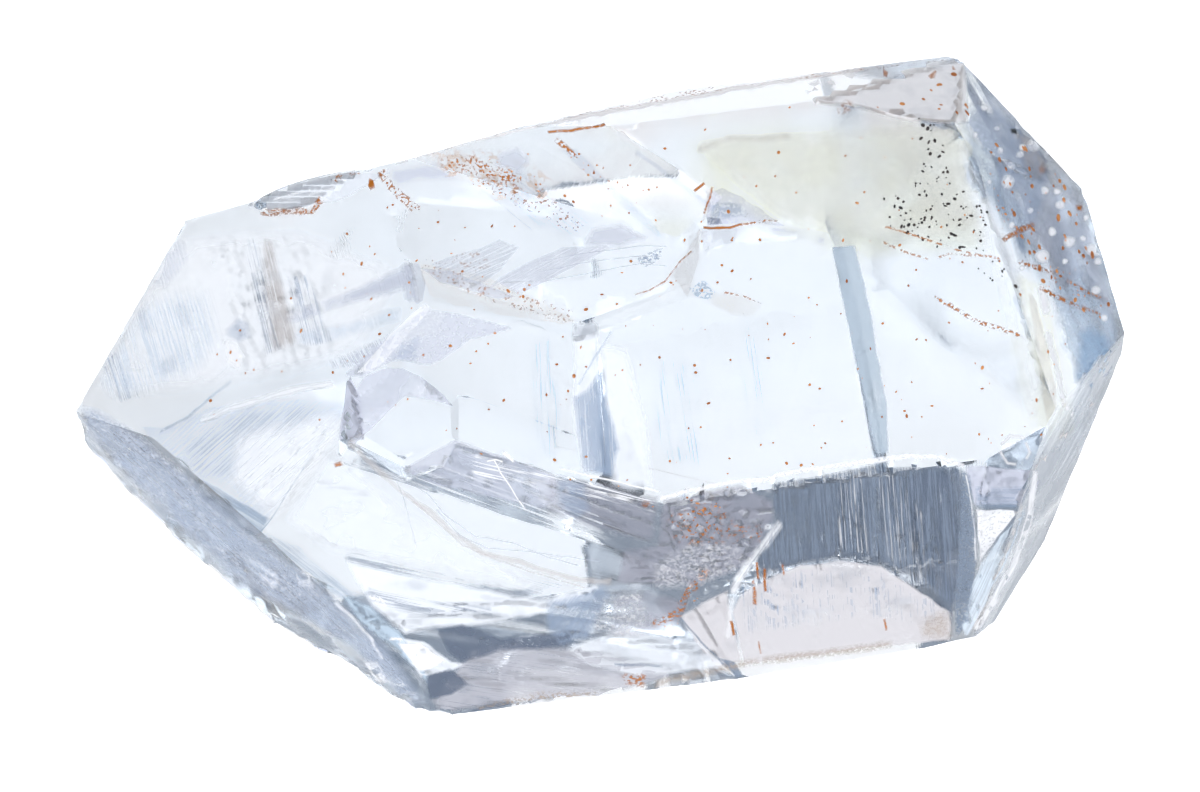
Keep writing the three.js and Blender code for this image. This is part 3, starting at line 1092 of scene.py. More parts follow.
@dataclass(frozen=True)
class Sheets:
    """Thin closed sheets that follow the crystal's surface, one for each film, in one piece.

    Attributes:
        name: the piece's name.
        films: the films.
        above: how far over the surface they lie; under it if negative.
        thick: how thick they are.
        step: how far apart their points are.
        least_step: how far apart they are at least in a narrow line.
        ragged: how uneven their outlines are.
        cliff: the step in the surface that a sheet doesn't bridge.
        shift: how far the streaks of one film are moved against the last one's.
    """

    name: str
    films: tuple[Film, ...]
    above: float
    thick: float = 0.012
    step: float = 0.3
    least_step: float = 0.12
    ragged: float = 0.05
    cliff: float = 0.9
    shift: float = 13.7

    def build(self, tree: BVHTree, sight: Sight, finish: bpy.types.Material) -> bpy.types.Object:
        """Make the sheets.

        Args:
            tree: the crystal's surface.
            sight: how the films' outlines are seen.
            finish: their material.

        Returns:
            The piece.
        """
        places: list[np.ndarray] = []
        faces: list[np.ndarray] = []
        traits: list[np.ndarray] = []
        streaks: list[np.ndarray] = []
        count = 0
        for index, film in enumerate(self.films):
            flat, triangles, edge = self.spread(film, index)
            hits, looks = sight.cast(tree, flat)
            missed = np.array([hit is None for hit in hits])
            ground = np.array([tuple(hit) if hit else (0.0, 0.0, 0.0) for hit in hits]) / MM
            steep = np.ptp(ground[triangles][:, :, 2], axis=1) > self.cliff
            kept = triangles[~(missed[triangles].any(axis=1) | steep)]
            if not len(kept):
                continue
            top = ground - looks * (self.above + self.thick / 2)
            low = ground - looks * (self.above - self.thick / 2)
            n = len(flat)
            places += [top, low]
            faces.append(np.vstack((kept, kept[:, ::-1] + n, self.walls(kept, n))) + count)
            row = (film.streaked, film.speckled, film.cover, *film.tone.value)
            traits += [np.column_stack((edge * film.amount, np.tile(row, (n, 1))))] * 2
            turn = math.radians(film.turn)
            along = flat @ (math.cos(turn), math.sin(turn)) + self.shift * index
            across = flat @ (-math.sin(turn), math.cos(turn))
            streaks += [np.column_stack((across, along))] * 2
            count += 2 * n
        return self.piece(np.vstack(places), np.vstack(faces), np.vstack(traits), np.vstack(streaks), finish)

    def spread(self, film: Film, index: int) -> tuple[np.ndarray, np.ndarray, np.ndarray]:
        """Cover a film with triangles in the view.

        Returns:
            Its points, its triangles, and how far each point is from fading out at the rim, from 0 to 1.
        """
        step = self.step if film.width == 0.0 else min(self.step, max(self.least_step, film.width / 2))
        rim = film.rim(step, min(self.ragged, 0.25 * film.width or self.ragged), index)
        ends = np.roll(rim, -1, axis=0)
        soft = min(film.soft, 0.45 * film.width) if film.width else film.soft
        cloud = honeycomb(rim.min(axis=0), rim.max(axis=0), step)
        cloud = cloud[inside(cloud, rim, ends)]
        gaps = distances(cloud, rim, ends)
        cloud = cloud[(gaps > 0.45 * step) & (np.abs(gaps - soft) > 0.45 * step)]
        inset = self.inset(rim, soft)
        edges = [(i, (i + 1) % len(rim)) for i in range(len(rim))]
        points = [tuple(p) for p in np.vstack((rim, inset, cloud)).tolist()]
        result = delaunay_2d_cdt(points, edges, [], 0, 1e-6, False)
        flat, triangles = np.array([tuple(p) for p in result[0]]), np.array(result[2])
        triangles = triangles[inside(flat[triangles].mean(axis=1), rim, ends)]
        return flat, triangles, smooth_step(distances(flat, rim, ends), -0.001, soft)

    @staticmethod
    def inset(rim: np.ndarray, soft: float) -> np.ndarray:
        """Give the points `soft` inside an outline, where its fade ends."""
        ends = np.roll(rim, -1, axis=0)
        along = ends - np.roll(rim, 1, axis=0)
        lengths = np.maximum(np.linalg.norm(along, axis=1), 1e-9)
        across = np.column_stack((-along[:, 1], along[:, 0])) / lengths[:, None]
        area = np.sum(rim[:, 0] * ends[:, 1] - ends[:, 0] * rim[:, 1])
        inner = rim + across * (math.copysign(soft, area))
        inner = inner[inside(inner, rim, ends)]
        return inner[distances(inner, rim, ends) > 0.85 * soft] if len(inner) else inner

    @staticmethod
    def walls(kept: np.ndarray, n: int) -> np.ndarray:
        """Close the rim between the upper triangles and the lower ones, `n` points further on."""
        edges = [edge for t in kept.tolist() for edge in ((t[0], t[1]), (t[1], t[2]), (t[2], t[0]))]
        known = set(edges)
        rim = [(a, b) for a, b in edges if (b, a) not in known]
        return np.array([t for a, b in rim for t in ((b, a, a + n), (b, a + n, b + n))])

    def piece(self, places: np.ndarray, faces: np.ndarray, traits: np.ndarray, streaks: np.ndarray,
              finish: bpy.types.Material) -> bpy.types.Object:
        """Put the sheets in a piece with what their finish reads."""
        mesh = bpy.data.meshes.new(self.name)
        mesh.from_pydata((places * MM).tolist(), [], faces.tolist())
        mesh.uv_layers.new(name="streaks").uv.foreach_set("vector", streaks[faces].astype(np.float32).ravel())
        for column, trait in enumerate(("amount", "streaked", "speckled", "cover")):
            keep(mesh, trait, "POINT", traits[:, column])
        layer = mesh.attributes.new("tone", "FLOAT_COLOR", "POINT")
        tones = np.column_stack((traits[:, 4:], np.ones(len(traits))))
        layer.data.foreach_set("color", tones.astype(np.float32).ravel())
        mesh.materials.append(finish)
        piece = placed(self.name, mesh)
        piece.visible_shadow = piece.visible_diffuse = False
        log.info("%s: %d films, %d triangles", self.name, len(self.films), len(faces))
        return piece


@dataclass(frozen=True)
class FilmFinish:
    """How films look: a mask of streaks, specks and soft rims, in the film's own colour.

    Attributes:
        across: streaks for each millimetre.
        along: changes along a streak for each millimetre.
        specks: specks for each metre.
    """

    across: float = 12.0
    along: float = 0.30
    specks: float = 6500.0

    def mask(self) -> bpy.types.NodeTree:
        """Make the group that gives the colour, and how much of it there is."""
        tree = bpy.data.node_groups.new("film_mask", "ShaderNodeTree")
        tree.interface.new_socket(name="Tone", in_out="OUTPUT", socket_type="NodeSocketColor")
        tree.interface.new_socket(name="Mask", in_out="OUTPUT", socket_type="NodeSocketFloat")
        nodes = Nodes(tree)
        lines = nodes.lines("streaks", self.across, self.along, 2.5, 0.6)
        specks, cloud = nodes.noise(self.specks, 1.5, 0.6), nodes.noise(700.0, 1.5)
        bare = nodes.maths("SUBTRACT", 1.0, nodes.attribute("cover"))
        edge = nodes.maths("MULTIPLY_ADD", bare, 0.40, 0.30)
        masks = []
        for noise, trait, blur in ((lines, "streaked", 0.06), (specks, "speckled", 0.03)):
            over = nodes.maths("SUBTRACT", noise, edge)
            shown = nodes.span(over, -blur, blur)
            part = nodes.attribute(trait)
            rest = nodes.maths("SUBTRACT", 1.0, part)
            masks.append(nodes.maths("ADD", nodes.maths("MULTIPLY", shown, part), rest))
        both = nodes.maths("MULTIPLY", *masks)
        clouded = nodes.maths("MULTIPLY", both, nodes.span(cloud, 0.25, 0.55, 0.6, 1.0))
        mask = nodes.maths("MULTIPLY", clouded, nodes.attribute("amount"))
        tone = nodes.add("ShaderNodeAttribute", {"attribute_name": "tone"}).outputs["Color"]
        nodes.add("NodeGroupOutput", Tone=tone, Mask=mask)
        return tree

    def clear(self, group: bpy.types.NodeTree) -> bpy.types.Material:
        """Make the finish of veils inside the crystal, which only tint the light."""
        material, nodes, _, shader = blank_material("clear_veil")
        mask = nodes.add("ShaderNodeGroup", {"node_tree": group}).outputs
        nodes.feed(shader, "Base Color", nodes.mix(mask["Mask"], PURE_WHITE, mask["Tone"]))
        for name, value in (("Transmission Weight", 1.0), ("IOR", 1.0), ("Roughness", 0.0)):
            nodes.feed(shader, name, value)
        return material

    def solid(self, group: bpy.types.NodeTree) -> bpy.types.Material:
        """Make the finish of films on the crystal, which cover it, painted light and shade among them."""
        material, nodes, _, shader = blank_material("mineral_film_and_painted_light")
        mask = nodes.add("ShaderNodeGroup", {"node_tree": group}).outputs
        nodes.feed(shader, "Base Color", mask["Tone"])
        nodes.feed(shader, "Alpha", mask["Mask"])
        nodes.feed(shader, "Roughness", 0.8)
        nodes.feed(shader, "Specular IOR Level", 0.2)
        return material


# ---------------------------------------------------------------- the films, drawn in the view
# Outlines are points of the view, counted right and down. A painted glint is a point and a radius in the same
# units.
# Some films are painted light and shade: white glints and highlights, and dark navy and slate-blue streaks
# and patches where the crystal reflects the dim room.

VEILS = (
    *drawn(Tone.MIST, 1, ((176, 424), (204, 408), (300, 397), (352, 400), (345, 415), (318, 452),
        (266, 526), (240, 512), (192, 478), (150, 445), (140, 426)), soft=0.15, streaked=0.5, turn=42,
        cover=0.7),
    *drawn(Tone.SLATE, 0.4, ((180, 440), (250, 408), (320, 405), (300, 440), (240, 480), (195, 476)),
        soft=0.4, streaked=1, turn=42, cover=0.45),
    *drawn(Tone.SLATE, 0.6, ((160, 432), (185, 419), (205, 402), (232, 380)), width=0.22),
    *drawn(Tone.SLATE, 1, ((188, 476), (206, 480), (270, 518), (262, 534), (250, 536), (205, 503)),
        soft=0.12, streaked=0.4, turn=-33, cover=0.7),
    *drawn(Tone.SLATE, 0.75, ((264, 530), (300, 545), (345, 582), (372, 600), (360, 612), (320, 590),
        (285, 560), (255, 540)), soft=0.3, streaked=0.4, turn=-38),
    *drawn(Tone.SLATE, 0.9, ((256, 538), (268, 524), (286, 496), (305, 466), (320, 448)), width=0.1),
    *drawn(Tone.GREY, 0.95, ((403, 266), (418, 262), (421, 270), (426, 282), (424, 300), (416, 306),
        (410, 290)), soft=0.06),
    *drawn(Tone.BEIGE, 1, ((418, 262), (450, 268), (500, 280), (520, 292), (578, 318), (570, 326),
        (500, 316), (428, 300)), soft=0.08),
    *drawn(Tone.MIST, 1, ((470, 178), (520, 165), (560, 190), (600, 225), (570, 240), (530, 228),
        (500, 200)), soft=0.3, streaked=0.6, turn=-40),
    *drawn(Tone.LILAC, 0.9, ((388, 168), (435, 160), (447, 168), (470, 182), (420, 183), (398, 190),
        (388, 182)), soft=0.35),
    *drawn(Tone.GREY, 0.55, ((470, 180), (500, 204), (532, 230)), width=0.16),
    *drawn(Tone.MIST, 1, ((636, 150), (660, 168), (712, 208)), width=0.3),
    *drawn(Tone.GREY, 0.6, ((676, 163), (694, 180), (708, 193)), width=0.12),
    *drawn(Tone.MIST, 1, ((560, 150), (575, 146), (600, 172), (650, 215), (668, 240), (655, 238),
        (620, 205), (580, 170)), soft=0.1),
    *drawn(Tone.TAN, 0.75, ((672, 275), (690, 248), (700, 226), (706, 190), (713, 186), (712, 208),
        (703, 232), (700, 258), (688, 300), (680, 290)), soft=0.1),
    *drawn(Tone.LILAC, 1, ((706, 192), (722, 186), (742, 196), (788, 226), (745, 222), (706, 226)),
        soft=0.07, speckled=0.3, cover=0.7),
    *drawn(Tone.SLATE, 0.6, ((712, 200), (740, 203), (752, 216), (710, 222)), soft=0.15, speckled=0.6,
        cover=0.6),
    *drawn(Tone.DARK, 1, ((706, 216), (720, 218), (723, 224), (708, 226)), soft=0.06, speckled=0.4,
        cover=0.7),
    *drawn(Tone.GREY, 0.8, ((700, 229), (742, 226), (736, 243), (702, 253)), soft=0.08),
    *drawn(Tone.SLATE, 0.9, ((688, 286), (705, 278), (718, 294), (708, 302), (694, 298)), soft=0.12,
        speckled=0.8, cover=0.5),
    *drawn(Tone.BEIGE, 1, ((712, 291), (745, 295), (764, 306), (755, 317), (730, 316), (708, 304)),
        soft=0.2),
    *drawn(Tone.LILAC, 0.9, ((745, 222), (785, 222), (830, 237), (862, 245), (858, 256), (800, 240),
        (760, 232)), soft=0.3),
    *drawn(Tone.YELLOW, 0.7, ((700, 146), (740, 134), (845, 134), (862, 230), (858, 242), (790, 225),
        (740, 190), (700, 162)), soft=0.9),
    *drawn(Tone.TAN, 0.9, ((694, 150), (730, 138), (760, 139), (792, 136)), width=0.5, soft=0.22),
    *drawn(Tone.YELLOW, 0.7, ((855, 130), (880, 128), (955, 124), (967, 180), (988, 246), (900, 240),
        (872, 200)), soft=0.8),
    *drawn(Tone.TAN, 0.35, ((880, 130), (955, 124), (967, 180), (985, 240), (940, 235), (900, 180)),
        soft=0.8),
    *drawn(Tone.TAN, 1, ((862, 88), (882, 80), (962, 64), (963, 121), (905, 117), (880, 112)), ((1027, 288),
        (1038, 300), (1056, 380), (1062, 438), (1050, 438), (1040, 390), (1034, 340)), soft=0.12),
    *drawn(Tone.SLATE, 0.65, ((958, 126), (985, 98), (1012, 130), (1060, 200), (1112, 330), (1062, 330),
        (1000, 240), (975, 200), (965, 150)), soft=0.9),
    *drawn(Tone.SKY, 1, ((1050, 290), (1090, 275), (1125, 330), (1115, 400), (1085, 420), (1062, 330)),
        soft=0.6),
    *drawn(Tone.SKY, 1, ((528, 340), (550, 335), (562, 400), (558, 462), (538, 456), (530, 400)), soft=0.3,
        streaked=1, turn=-87, cover=0.42),
    *drawn(Tone.SKY, 1, ((655, 350), (700, 365), (706, 470), (650, 466)), soft=0.4, streaked=1, turn=-82,
        cover=0.3),
    *drawn(Tone.SKY, 1, ((736, 310), (770, 320), (775, 450), (745, 440)), soft=0.4, streaked=1, turn=-82,
        cover=0.22),
    *drawn(Tone.SLATE, 0.6, ((550, 424), (556, 422), (560, 450), (554, 452)), soft=0.06, streaked=1,
        turn=-85),
    *drawn(Tone.TAN, 0.8, ((556, 446), (620, 462), (722, 485)), width=0.08),
    *drawn(Tone.GREY, 0.5, ((560, 378), (592, 400), (640, 432)), width=0.07),
)

WASHES = (
    *drawn(Tone.RIM, 0.5, ((392, 163), (480, 138), (560, 121), (640, 106), (720, 92), (800, 78), (866, 68)),
        width=0.3, soft=0.12),
    # painted reflection: these navy washes darken the face whose dark look comes from reflecting the dim room
    *drawn(Tone.NAVY, 0.28, ((772, 482), (870, 465), (962, 467), (972, 520), (976, 560), (965, 606),
        (948, 616), (915, 594), (880, 568), (840, 563), (800, 569), (765, 584), (756, 560), (775, 520)),
        soft=0.15),
    *drawn(Tone.NAVY, 0.3, ((905, 475), (962, 470), (972, 520), (972, 600), (950, 606), (928, 585),
        (908, 560)), soft=0.3),
    *drawn(Tone.LILACMILK, 0.4, ((398, 470), (455, 438), (520, 460), (556, 474), (560, 500), (540, 512),
        (500, 500), (430, 484)), soft=0.15),
    *drawn(Tone.LILACGREY, 0.35, ((545, 472), (600, 480), (660, 497), (655, 545), (600, 532), (545, 514)),
        soft=0.3),
    *drawn(Tone.MILK, 0.85, ((246, 206), (256, 190), (320, 176), (388, 160), (388, 174), (335, 202),
        (262, 213)), soft=0.12),
    *drawn(Tone.WHITE, 0.4, ((160, 235), (250, 225), (300, 222), (400, 262), (395, 300), (372, 352),
        (330, 372), (215, 395), (110, 402), (92, 388), (130, 300)), soft=1.2),
    *drawn(Tone.WHITE, 0.35, ((230, 430), (345, 405), (345, 440), (300, 500), (270, 525), (225, 480)),
        soft=0.8, streaked=0.4, turn=42, cover=0.7),
    *drawn(Tone.MILK, 0.3, ((280, 520), (330, 440), (400, 500), (520, 570), (560, 600), (500, 590),
        (380, 565), (330, 555)), soft=0.6),
    # painted light: this pale patch covers a shadow seen through the crystal with the bright tone of the face
    # around it
    *drawn(Tone.MILK, 0.7, ((596, 340), (628, 345), (648, 420), (655, 488), (630, 494), (612, 490),
        (600, 440)), soft=0.5),
    *drawn(Tone.MILK, 0.6, ((572, 322), (600, 318), (602, 440), (596, 478), (580, 470), (572, 430)),
        soft=0.25),
    *drawn(Tone.STEEL, 0.68, ((831, 247), (856, 245), (867, 290), (886, 400), (890, 453), (876, 454),
        (855, 360)), soft=0.1),
    *drawn(Tone.LILACMILK, 1, ((349, 374), (362, 400), (364, 440), (338, 440)), soft=0.06),
    *drawn(Tone.SKYMILK, 0.62, ((338, 592), (372, 604), (400, 632), (424, 662), (438, 690), (426, 684),
        (395, 652), (358, 622)), soft=0.2),
    *drawn(Tone.MILK, 0.75, ((340, 556), (385, 568), (470, 585), (540, 598), (610, 578), (590, 600),
        (555, 612), (500, 626), (440, 630), (405, 636), (372, 608)), soft=0.25),
    *drawn(Tone.PALEGREY, 0.66, ((470, 650), (520, 640), (600, 650), (660, 668), (690, 672), (600, 700),
        (500, 706), (440, 716), (432, 700)), soft=0.25, streaked=0.4, turn=-8, cover=0.75),
    *drawn(Tone.MILK, 0.7, ((395, 637), (425, 640), (452, 661), (470, 664), (422, 680), (408, 662)),
        soft=0.12),
    *drawn(Tone.MILK, 0.55, ((560, 650), (620, 628), (700, 640), (735, 668), (640, 678), (590, 668)),
        soft=0.2),
    *drawn(Tone.LILACGREY, 0.45, ((662, 498), (740, 482), (776, 500), (775, 520), (750, 565), (700, 588),
        (645, 588), (616, 584), (622, 548), (655, 545)), soft=0.25),
    *drawn(Tone.LILACGREY, 0.5, ((614, 592), (650, 590), (690, 600), (680, 625), (630, 640), (606, 640)),
        soft=0.3, speckled=0.3, cover=0.7),
    *drawn(Tone.SHELL, 0.85, ((680, 616), (700, 602), (730, 590), (732, 612), (742, 662), (716, 668),
        (694, 640)), soft=0.15),
    *drawn(Tone.RIM, 0.5, ((1124, 370), (1118, 382), (1096, 440), (1042, 560), (1012, 606), (962, 640),
        (998, 566), (1036, 460), (1086, 406)), soft=0.2),
    *drawn(Tone.LILACMILK, 0.7, ((964, 466), (1036, 470), (1040, 480), (1030, 504), (974, 504)), soft=0.1),
    *drawn(Tone.PINKMILK, 0.9, ((800, 84), (850, 70), (900, 64), (964, 56), (969, 62), (969, 126),
        (905, 122), (880, 117), (850, 108), (815, 104)), soft=0.25),
    *drawn(Tone.OLIVE, 0.26, ((690, 140), (740, 134), (845, 130), (962, 122), (990, 246), (900, 245),
        (790, 228), (740, 190)), soft=0.5),
    *drawn(Tone.LILACMILK, 0.3, ((962, 66), (1000, 100), (1090, 200), (1125, 330), (1118, 380), (1085, 400),
        (1050, 290), (1000, 190), (970, 130)), soft=0.5, speckled=0.5),
    *drawn(Tone.SKYMILK, 0.4, ((1046, 290), (1085, 262), (1120, 325), (1118, 370), (1085, 402),
        (1060, 350)), soft=0.5, speckled=0.3, cover=0.7),
    *drawn(Tone.MILK, 0.35, ((955, 120), (980, 160), (1010, 240), (1030, 290), (1050, 380), (1030, 440),
        (1020, 380), (1000, 300), (980, 240), (962, 180)), soft=0.6),
)

# painted light and shade: among these marks, the white glints and highlights and the dark slate-blue and navy
# streaks and patches stand for light caught by the crystal and for the dim room it reflects
MARKS = (
    *drawn(Tone.TANLINE, 0.3, ((348, 440), (366, 458), (384, 476), (402, 492), (430, 512), (455, 535),
        (482, 553), (520, 562), (545, 570), (580, 580), (612, 582)), width=0.35, soft=0.12),
    *drawn(Tone.GREYBLUE, 0.35, ((392, 474), (428, 494), (448, 517), (475, 536), (512, 543), (545, 556),
        (580, 566)), ((436, 508), (460, 536), (488, 548), (530, 552), (560, 556), (600, 562)), width=0.1),
    *drawn(Tone.TANLINE, 0.3, ((412, 500), (440, 524), (462, 545), (500, 560), (540, 575), (585, 588)),
        width=0.12),
    *drawn(Tone.GREYBLUE, 0.3, ((395, 478), (405, 500), (412, 530), (416, 545)), width=0.08),
    *drawn(Tone.SHELL, 0.85, ((731, 612), (740, 594), (768, 576), (800, 566), (840, 560), (882, 565),
        (917, 590), (950, 612), (952, 640), (860, 650), (745, 664)), soft=0.12),
    *drawn(Tone.UMBER, 0.35, ((259, 238), (274, 236), (287, 292), (301, 344), (272, 354), (263, 300)),
        soft=0.3, streaked=0.7, turn=-76, cover=0.7),
    *drawn(Tone.FROST, 0.36, ((248, 272), (264, 268), (276, 310), (282, 350), (264, 357)), soft=0.15,
        streaked=1, turn=-76, cover=0.5),
    *drawn(Tone.SLATEBLUE, 0.3, ((286, 276), (308, 274), (334, 342), (302, 347)), soft=0.15, streaked=1,
        turn=-76, cover=0.4),
    *drawn(Tone.SLATEBLUE, 0.2, ((240, 238), (260, 236), (266, 268), (250, 272)), soft=0.2, streaked=1,
        turn=-76, cover=0.4),
    *drawn(Tone.GREYBLUE, 0.68, ((284, 312), (345, 292), (400, 264), (412, 268), (416, 290), (345, 306),
        (300, 322), (284, 325)), soft=0.4, streaked=0.2, turn=-75, cover=0.8),
    *drawn(Tone.GREYBLUE, 0.45, ((398, 262), (412, 262), (420, 300), (404, 305)), soft=0.25, streaked=0.3,
        turn=-75, cover=0.7),
    *drawn(Tone.PALEBLUE, 0.4, ((290, 330), (340, 322), (405, 302), (402, 322), (330, 344), (292, 348)),
        soft=0.5, streaked=0.3, turn=-75, cover=0.7),
    *drawn(Tone.GREYBLUE, 0.5, ((316, 364), (345, 354), (378, 338), (396, 330), (398, 344), (360, 366),
        (325, 372)), soft=0.3, streaked=0.9, turn=-62, cover=0.55),
    *drawn(Tone.SLATEBLUE, 0.25, ((220, 333), (238, 316), (250, 322), (252, 338), (238, 345)), soft=0.25),
    *drawn(Tone.PALEBLUE, 0.35, ((92, 384), (118, 330), (132, 304), (170, 282), (214, 288), (226, 340),
        (200, 378), (150, 398), (110, 404)), soft=1.0, streaked=0.9, turn=-74, cover=0.5),
    *drawn(Tone.SLATEBLUE, 0.18, ((172, 308), (184, 296), (194, 320), (196, 338), (180, 326)), ((132, 310),
        (148, 304), (154, 332), (140, 336)), ((152, 362), (180, 348), (180, 372), (160, 378)), soft=0.3,
        streaked=0.7, turn=-76, cover=0.6),
    *drawn(Tone.SLATEBLUE, 0.35, ((100, 362), (116, 350), (140, 396), (120, 404)), soft=0.12, streaked=1,
        turn=-72, cover=0.4),
    *drawn(Tone.GREYBLUE, 0.3, ((150, 285), (165, 240), (185, 235), (190, 262), (165, 292)), soft=0.3,
        streaked=0.5, turn=-75, cover=0.6),
    *drawn(Tone.LILACMILK, 0.32, ((484, 291), (500, 276), (535, 258), (560, 248), (606, 245), (612, 250),
        (530, 290), (520, 295), (500, 286)), soft=0.08, streaked=0.4, turn=28, cover=0.7),
    *drawn(Tone.LILACMILK, 0.4, ((576, 247), (592, 228), (620, 221), (652, 235), (654, 241), (620, 250),
        (600, 249)), soft=0.35),
    *drawn(Tone.GREYBLUE, 0.3, ((430, 262), (470, 250), (500, 238), (520, 248), (500, 272), (480, 284),
        (440, 276)), soft=0.1, streaked=0.6, turn=24, cover=0.6),
    *drawn(Tone.GREYBLUE, 0.35, ((420, 266), (455, 272), (516, 296), (500, 300), (440, 282)), soft=0.06),
    *drawn(Tone.GREYBLUE, 0.4, ((540, 262), (580, 254), (640, 246), (668, 246)), ((540, 272), (590, 262),
        (640, 256), (662, 256)), width=0.07),
    *drawn(Tone.GREYBLUE, 0.3, ((545, 282), (590, 273), (640, 264), (668, 266)), width=0.07),
    *drawn(Tone.SLATEBLUE, 0.5, ((636, 258), (652, 250), (664, 246), (660, 262), (645, 268)), soft=0.1,
        speckled=0.9, cover=0.45),
    *drawn(Tone.GREYBLUE, 0.4, ((500, 152), (518, 146), (534, 160), (520, 176), (505, 172), (492, 165)),
        soft=0.3),
    *drawn(Tone.LILACMILK, 0.4, ((340, 376), (425, 308), (470, 316), (518, 328), (470, 341), (430, 366),
        (395, 360), (362, 378)), soft=0.12, speckled=0.3, cover=0.7),
    *drawn(Tone.SLATEBLUE, 0.3, ((382, 362), (402, 340), (424, 332), (420, 362), (400, 364)), soft=0.3,
        speckled=0.6, cover=0.55),
    *drawn(Tone.WHITE, 0.4, ((395, 327), (424, 303), (432, 310), (382, 364), (366, 374), (360, 370)),
        soft=0.06),
    *drawn(Tone.LILACMILK, 0.45, ((340, 418), (362, 379), (380, 370), (402, 367), (420, 377), (458, 408),
        (448, 404), (405, 397), (390, 409), (371, 430), (352, 447), (344, 434)), soft=0.06),
    *drawn(Tone.WHITE, 0.4, ((80, 402), (140, 432), (180, 462), (215, 505), (300, 570), (335, 602),
        (290, 602), (250, 585), (200, 542), (150, 502), (95, 455), (76, 425)), soft=0.3, speckled=0.9,
        cover=0.36),
    # painted glint: a small white patch
    *drawn(Tone.WHITE, 0.8, ((222, 338), (236, 341), (246, 355), (240, 375), (226, 362)), soft=0.25),
    *drawn(Tone.WHITE, 0.45, ((200, 422), (230, 408), (262, 399), (300, 388), (335, 384)), width=0.45,
        soft=0.2),
    *drawn(Tone.WHITE, 0.9, ((292, 568), (308, 572), (318, 592), (298, 586)), soft=0.12, speckled=0.6),
    *drawn(Tone.WHITE, 0.8, ((258, 575), (275, 570), (282, 582), (265, 598)), soft=0.1, speckled=0.5),
    *drawn(Tone.WHITE, 0.9, ((335, 602), (352, 618), (372, 640), (382, 660)), width=0.2),
    *drawn(Tone.WHITE, 0.8, ((362, 662), (378, 660), (390, 682), (380, 686)), soft=0.12, speckled=0.4),
    *drawn(Tone.WHITE, 0.9, ((390, 636), (408, 637), (406, 641), (388, 640)), soft=0.06),
    *drawn(Tone.WHITE, 0.75, ((396, 643), (420, 643), (448, 662), (420, 674), (408, 658)), soft=0.08),
    *drawn(Tone.WHITE, 0.7, ((365, 590), (380, 596), (392, 608), (375, 606)), soft=0.1, speckled=0.6),
    *drawn(Tone.SLATEBLUE, 0.4, ((554, 472), (585, 480), (592, 512), (575, 520), (556, 506)), soft=0.3,
        streaked=0.3, turn=-14),
    *drawn(Tone.WHITE, 0.7, ((470, 452), (655, 498), (655, 516), (470, 478)), soft=0.2, streaked=1,
        turn=-14, cover=0.3),
    *drawn(Tone.WHITE, 0.9, ((503, 451), (509, 457), (516, 465)), width=0.2),
    *drawn(Tone.WHITE, 0.9, ((493, 458), (500, 472), (512, 490), (526, 510)), width=0.1),
    *drawn(Tone.WHITE, 0.8, ((487, 462), (497, 459), (503, 462)), width=0.14),
    *drawn(Tone.WHITE, 0.8, ((560, 468), (600, 478), (660, 492)), width=0.12),
    *drawn(Tone.SLATEBLUE, 0.3, ((957, 122), (966, 100), (1000, 108), (1040, 135), (1052, 178), (1046, 206),
        (1030, 240), (1034, 285), (1018, 262), (1004, 222), (982, 196), (966, 160)), soft=0.4, speckled=0.3,
        cover=0.75),
    *drawn(Tone.UMBER, 0.35, ((1014, 128), (1034, 140), (1050, 166), (1040, 184), (1022, 172)), soft=0.25,
        speckled=0.4),
    *drawn(Tone.AZURE, 0.36, ((1078, 330), (1092, 322), (1108, 334), (1120, 350), (1116, 370), (1088, 400),
        (1072, 390), (1076, 352)), soft=0.4, speckled=0.3, cover=0.8),
    *drawn(Tone.SLATEBLUE, 0.14, ((1046, 186), (1080, 200), (1098, 250), (1108, 310), (1070, 300),
        (1048, 262)), soft=0.4, speckled=0.5, cover=0.6),
    # painted highlight: a white ribbon along the chipped top edge of the dark face, for the light that edge
    # catches
    *drawn(Tone.WHITE, 0.75, ((660, 499), (690, 491), (735, 482), (765, 479), (800, 470), (870, 462),
        (910, 456), (940, 457), (964, 466)), width=0.26, speckled=0.5, cover=0.65),
    *drawn(Tone.WHITE, 0.5, ((782, 520), (768, 540), (752, 558), (740, 576), (732, 596)), width=0.5,
        soft=0.2, streaked=0.4, turn=55, cover=0.7),
    *drawn(Tone.WHITE, 0.3, ((733, 596), (730, 616), (728, 640)), width=0.4, soft=0.2),
    # painted reflection: dark slate-blue streaks over the face that reflects the dim room
    *drawn(Tone.FROST, 0.45, ((770, 482), (870, 466), (962, 468), (972, 520), (974, 600), (948, 606),
        (915, 584), (880, 558), (840, 554), (800, 560), (768, 572), (757, 556), (775, 520)), soft=0.2,
        streaked=1, turn=-86, cover=0.45),
    *drawn(Tone.PEARL, 0.5, ((836, 478), (862, 474), (868, 556), (840, 550)), soft=0.1, streaked=1,
        turn=-86, cover=0.3),
    *drawn(Tone.PEARL, 0.3, ((876, 476), (898, 474), (926, 520), (934, 588), (912, 578), (884, 554)),
        soft=0.1, streaked=1, turn=-86, cover=0.28),
    *drawn(Tone.SLATEBLUE, 0.4, ((738, 586), (800, 570), (880, 570), (945, 606), (945, 628), (860, 618),
        (745, 636)), soft=0.25, streaked=1, turn=-87, cover=0.3),
    *drawn(Tone.FROST, 0.7, ((960, 466), (972, 476), (978, 562), (968, 622), (955, 640), (953, 610),
        (958, 540)), soft=0.12, speckled=0.5, cover=0.6),
    *drawn(Tone.WHITE, 0.6, ((966, 474), (971, 500), (974, 530), (975, 560)), width=0.1),
    *drawn(Tone.PEARL, 0.3, ((655, 560), (690, 540), (740, 540), (748, 568), (690, 592), (648, 590)),
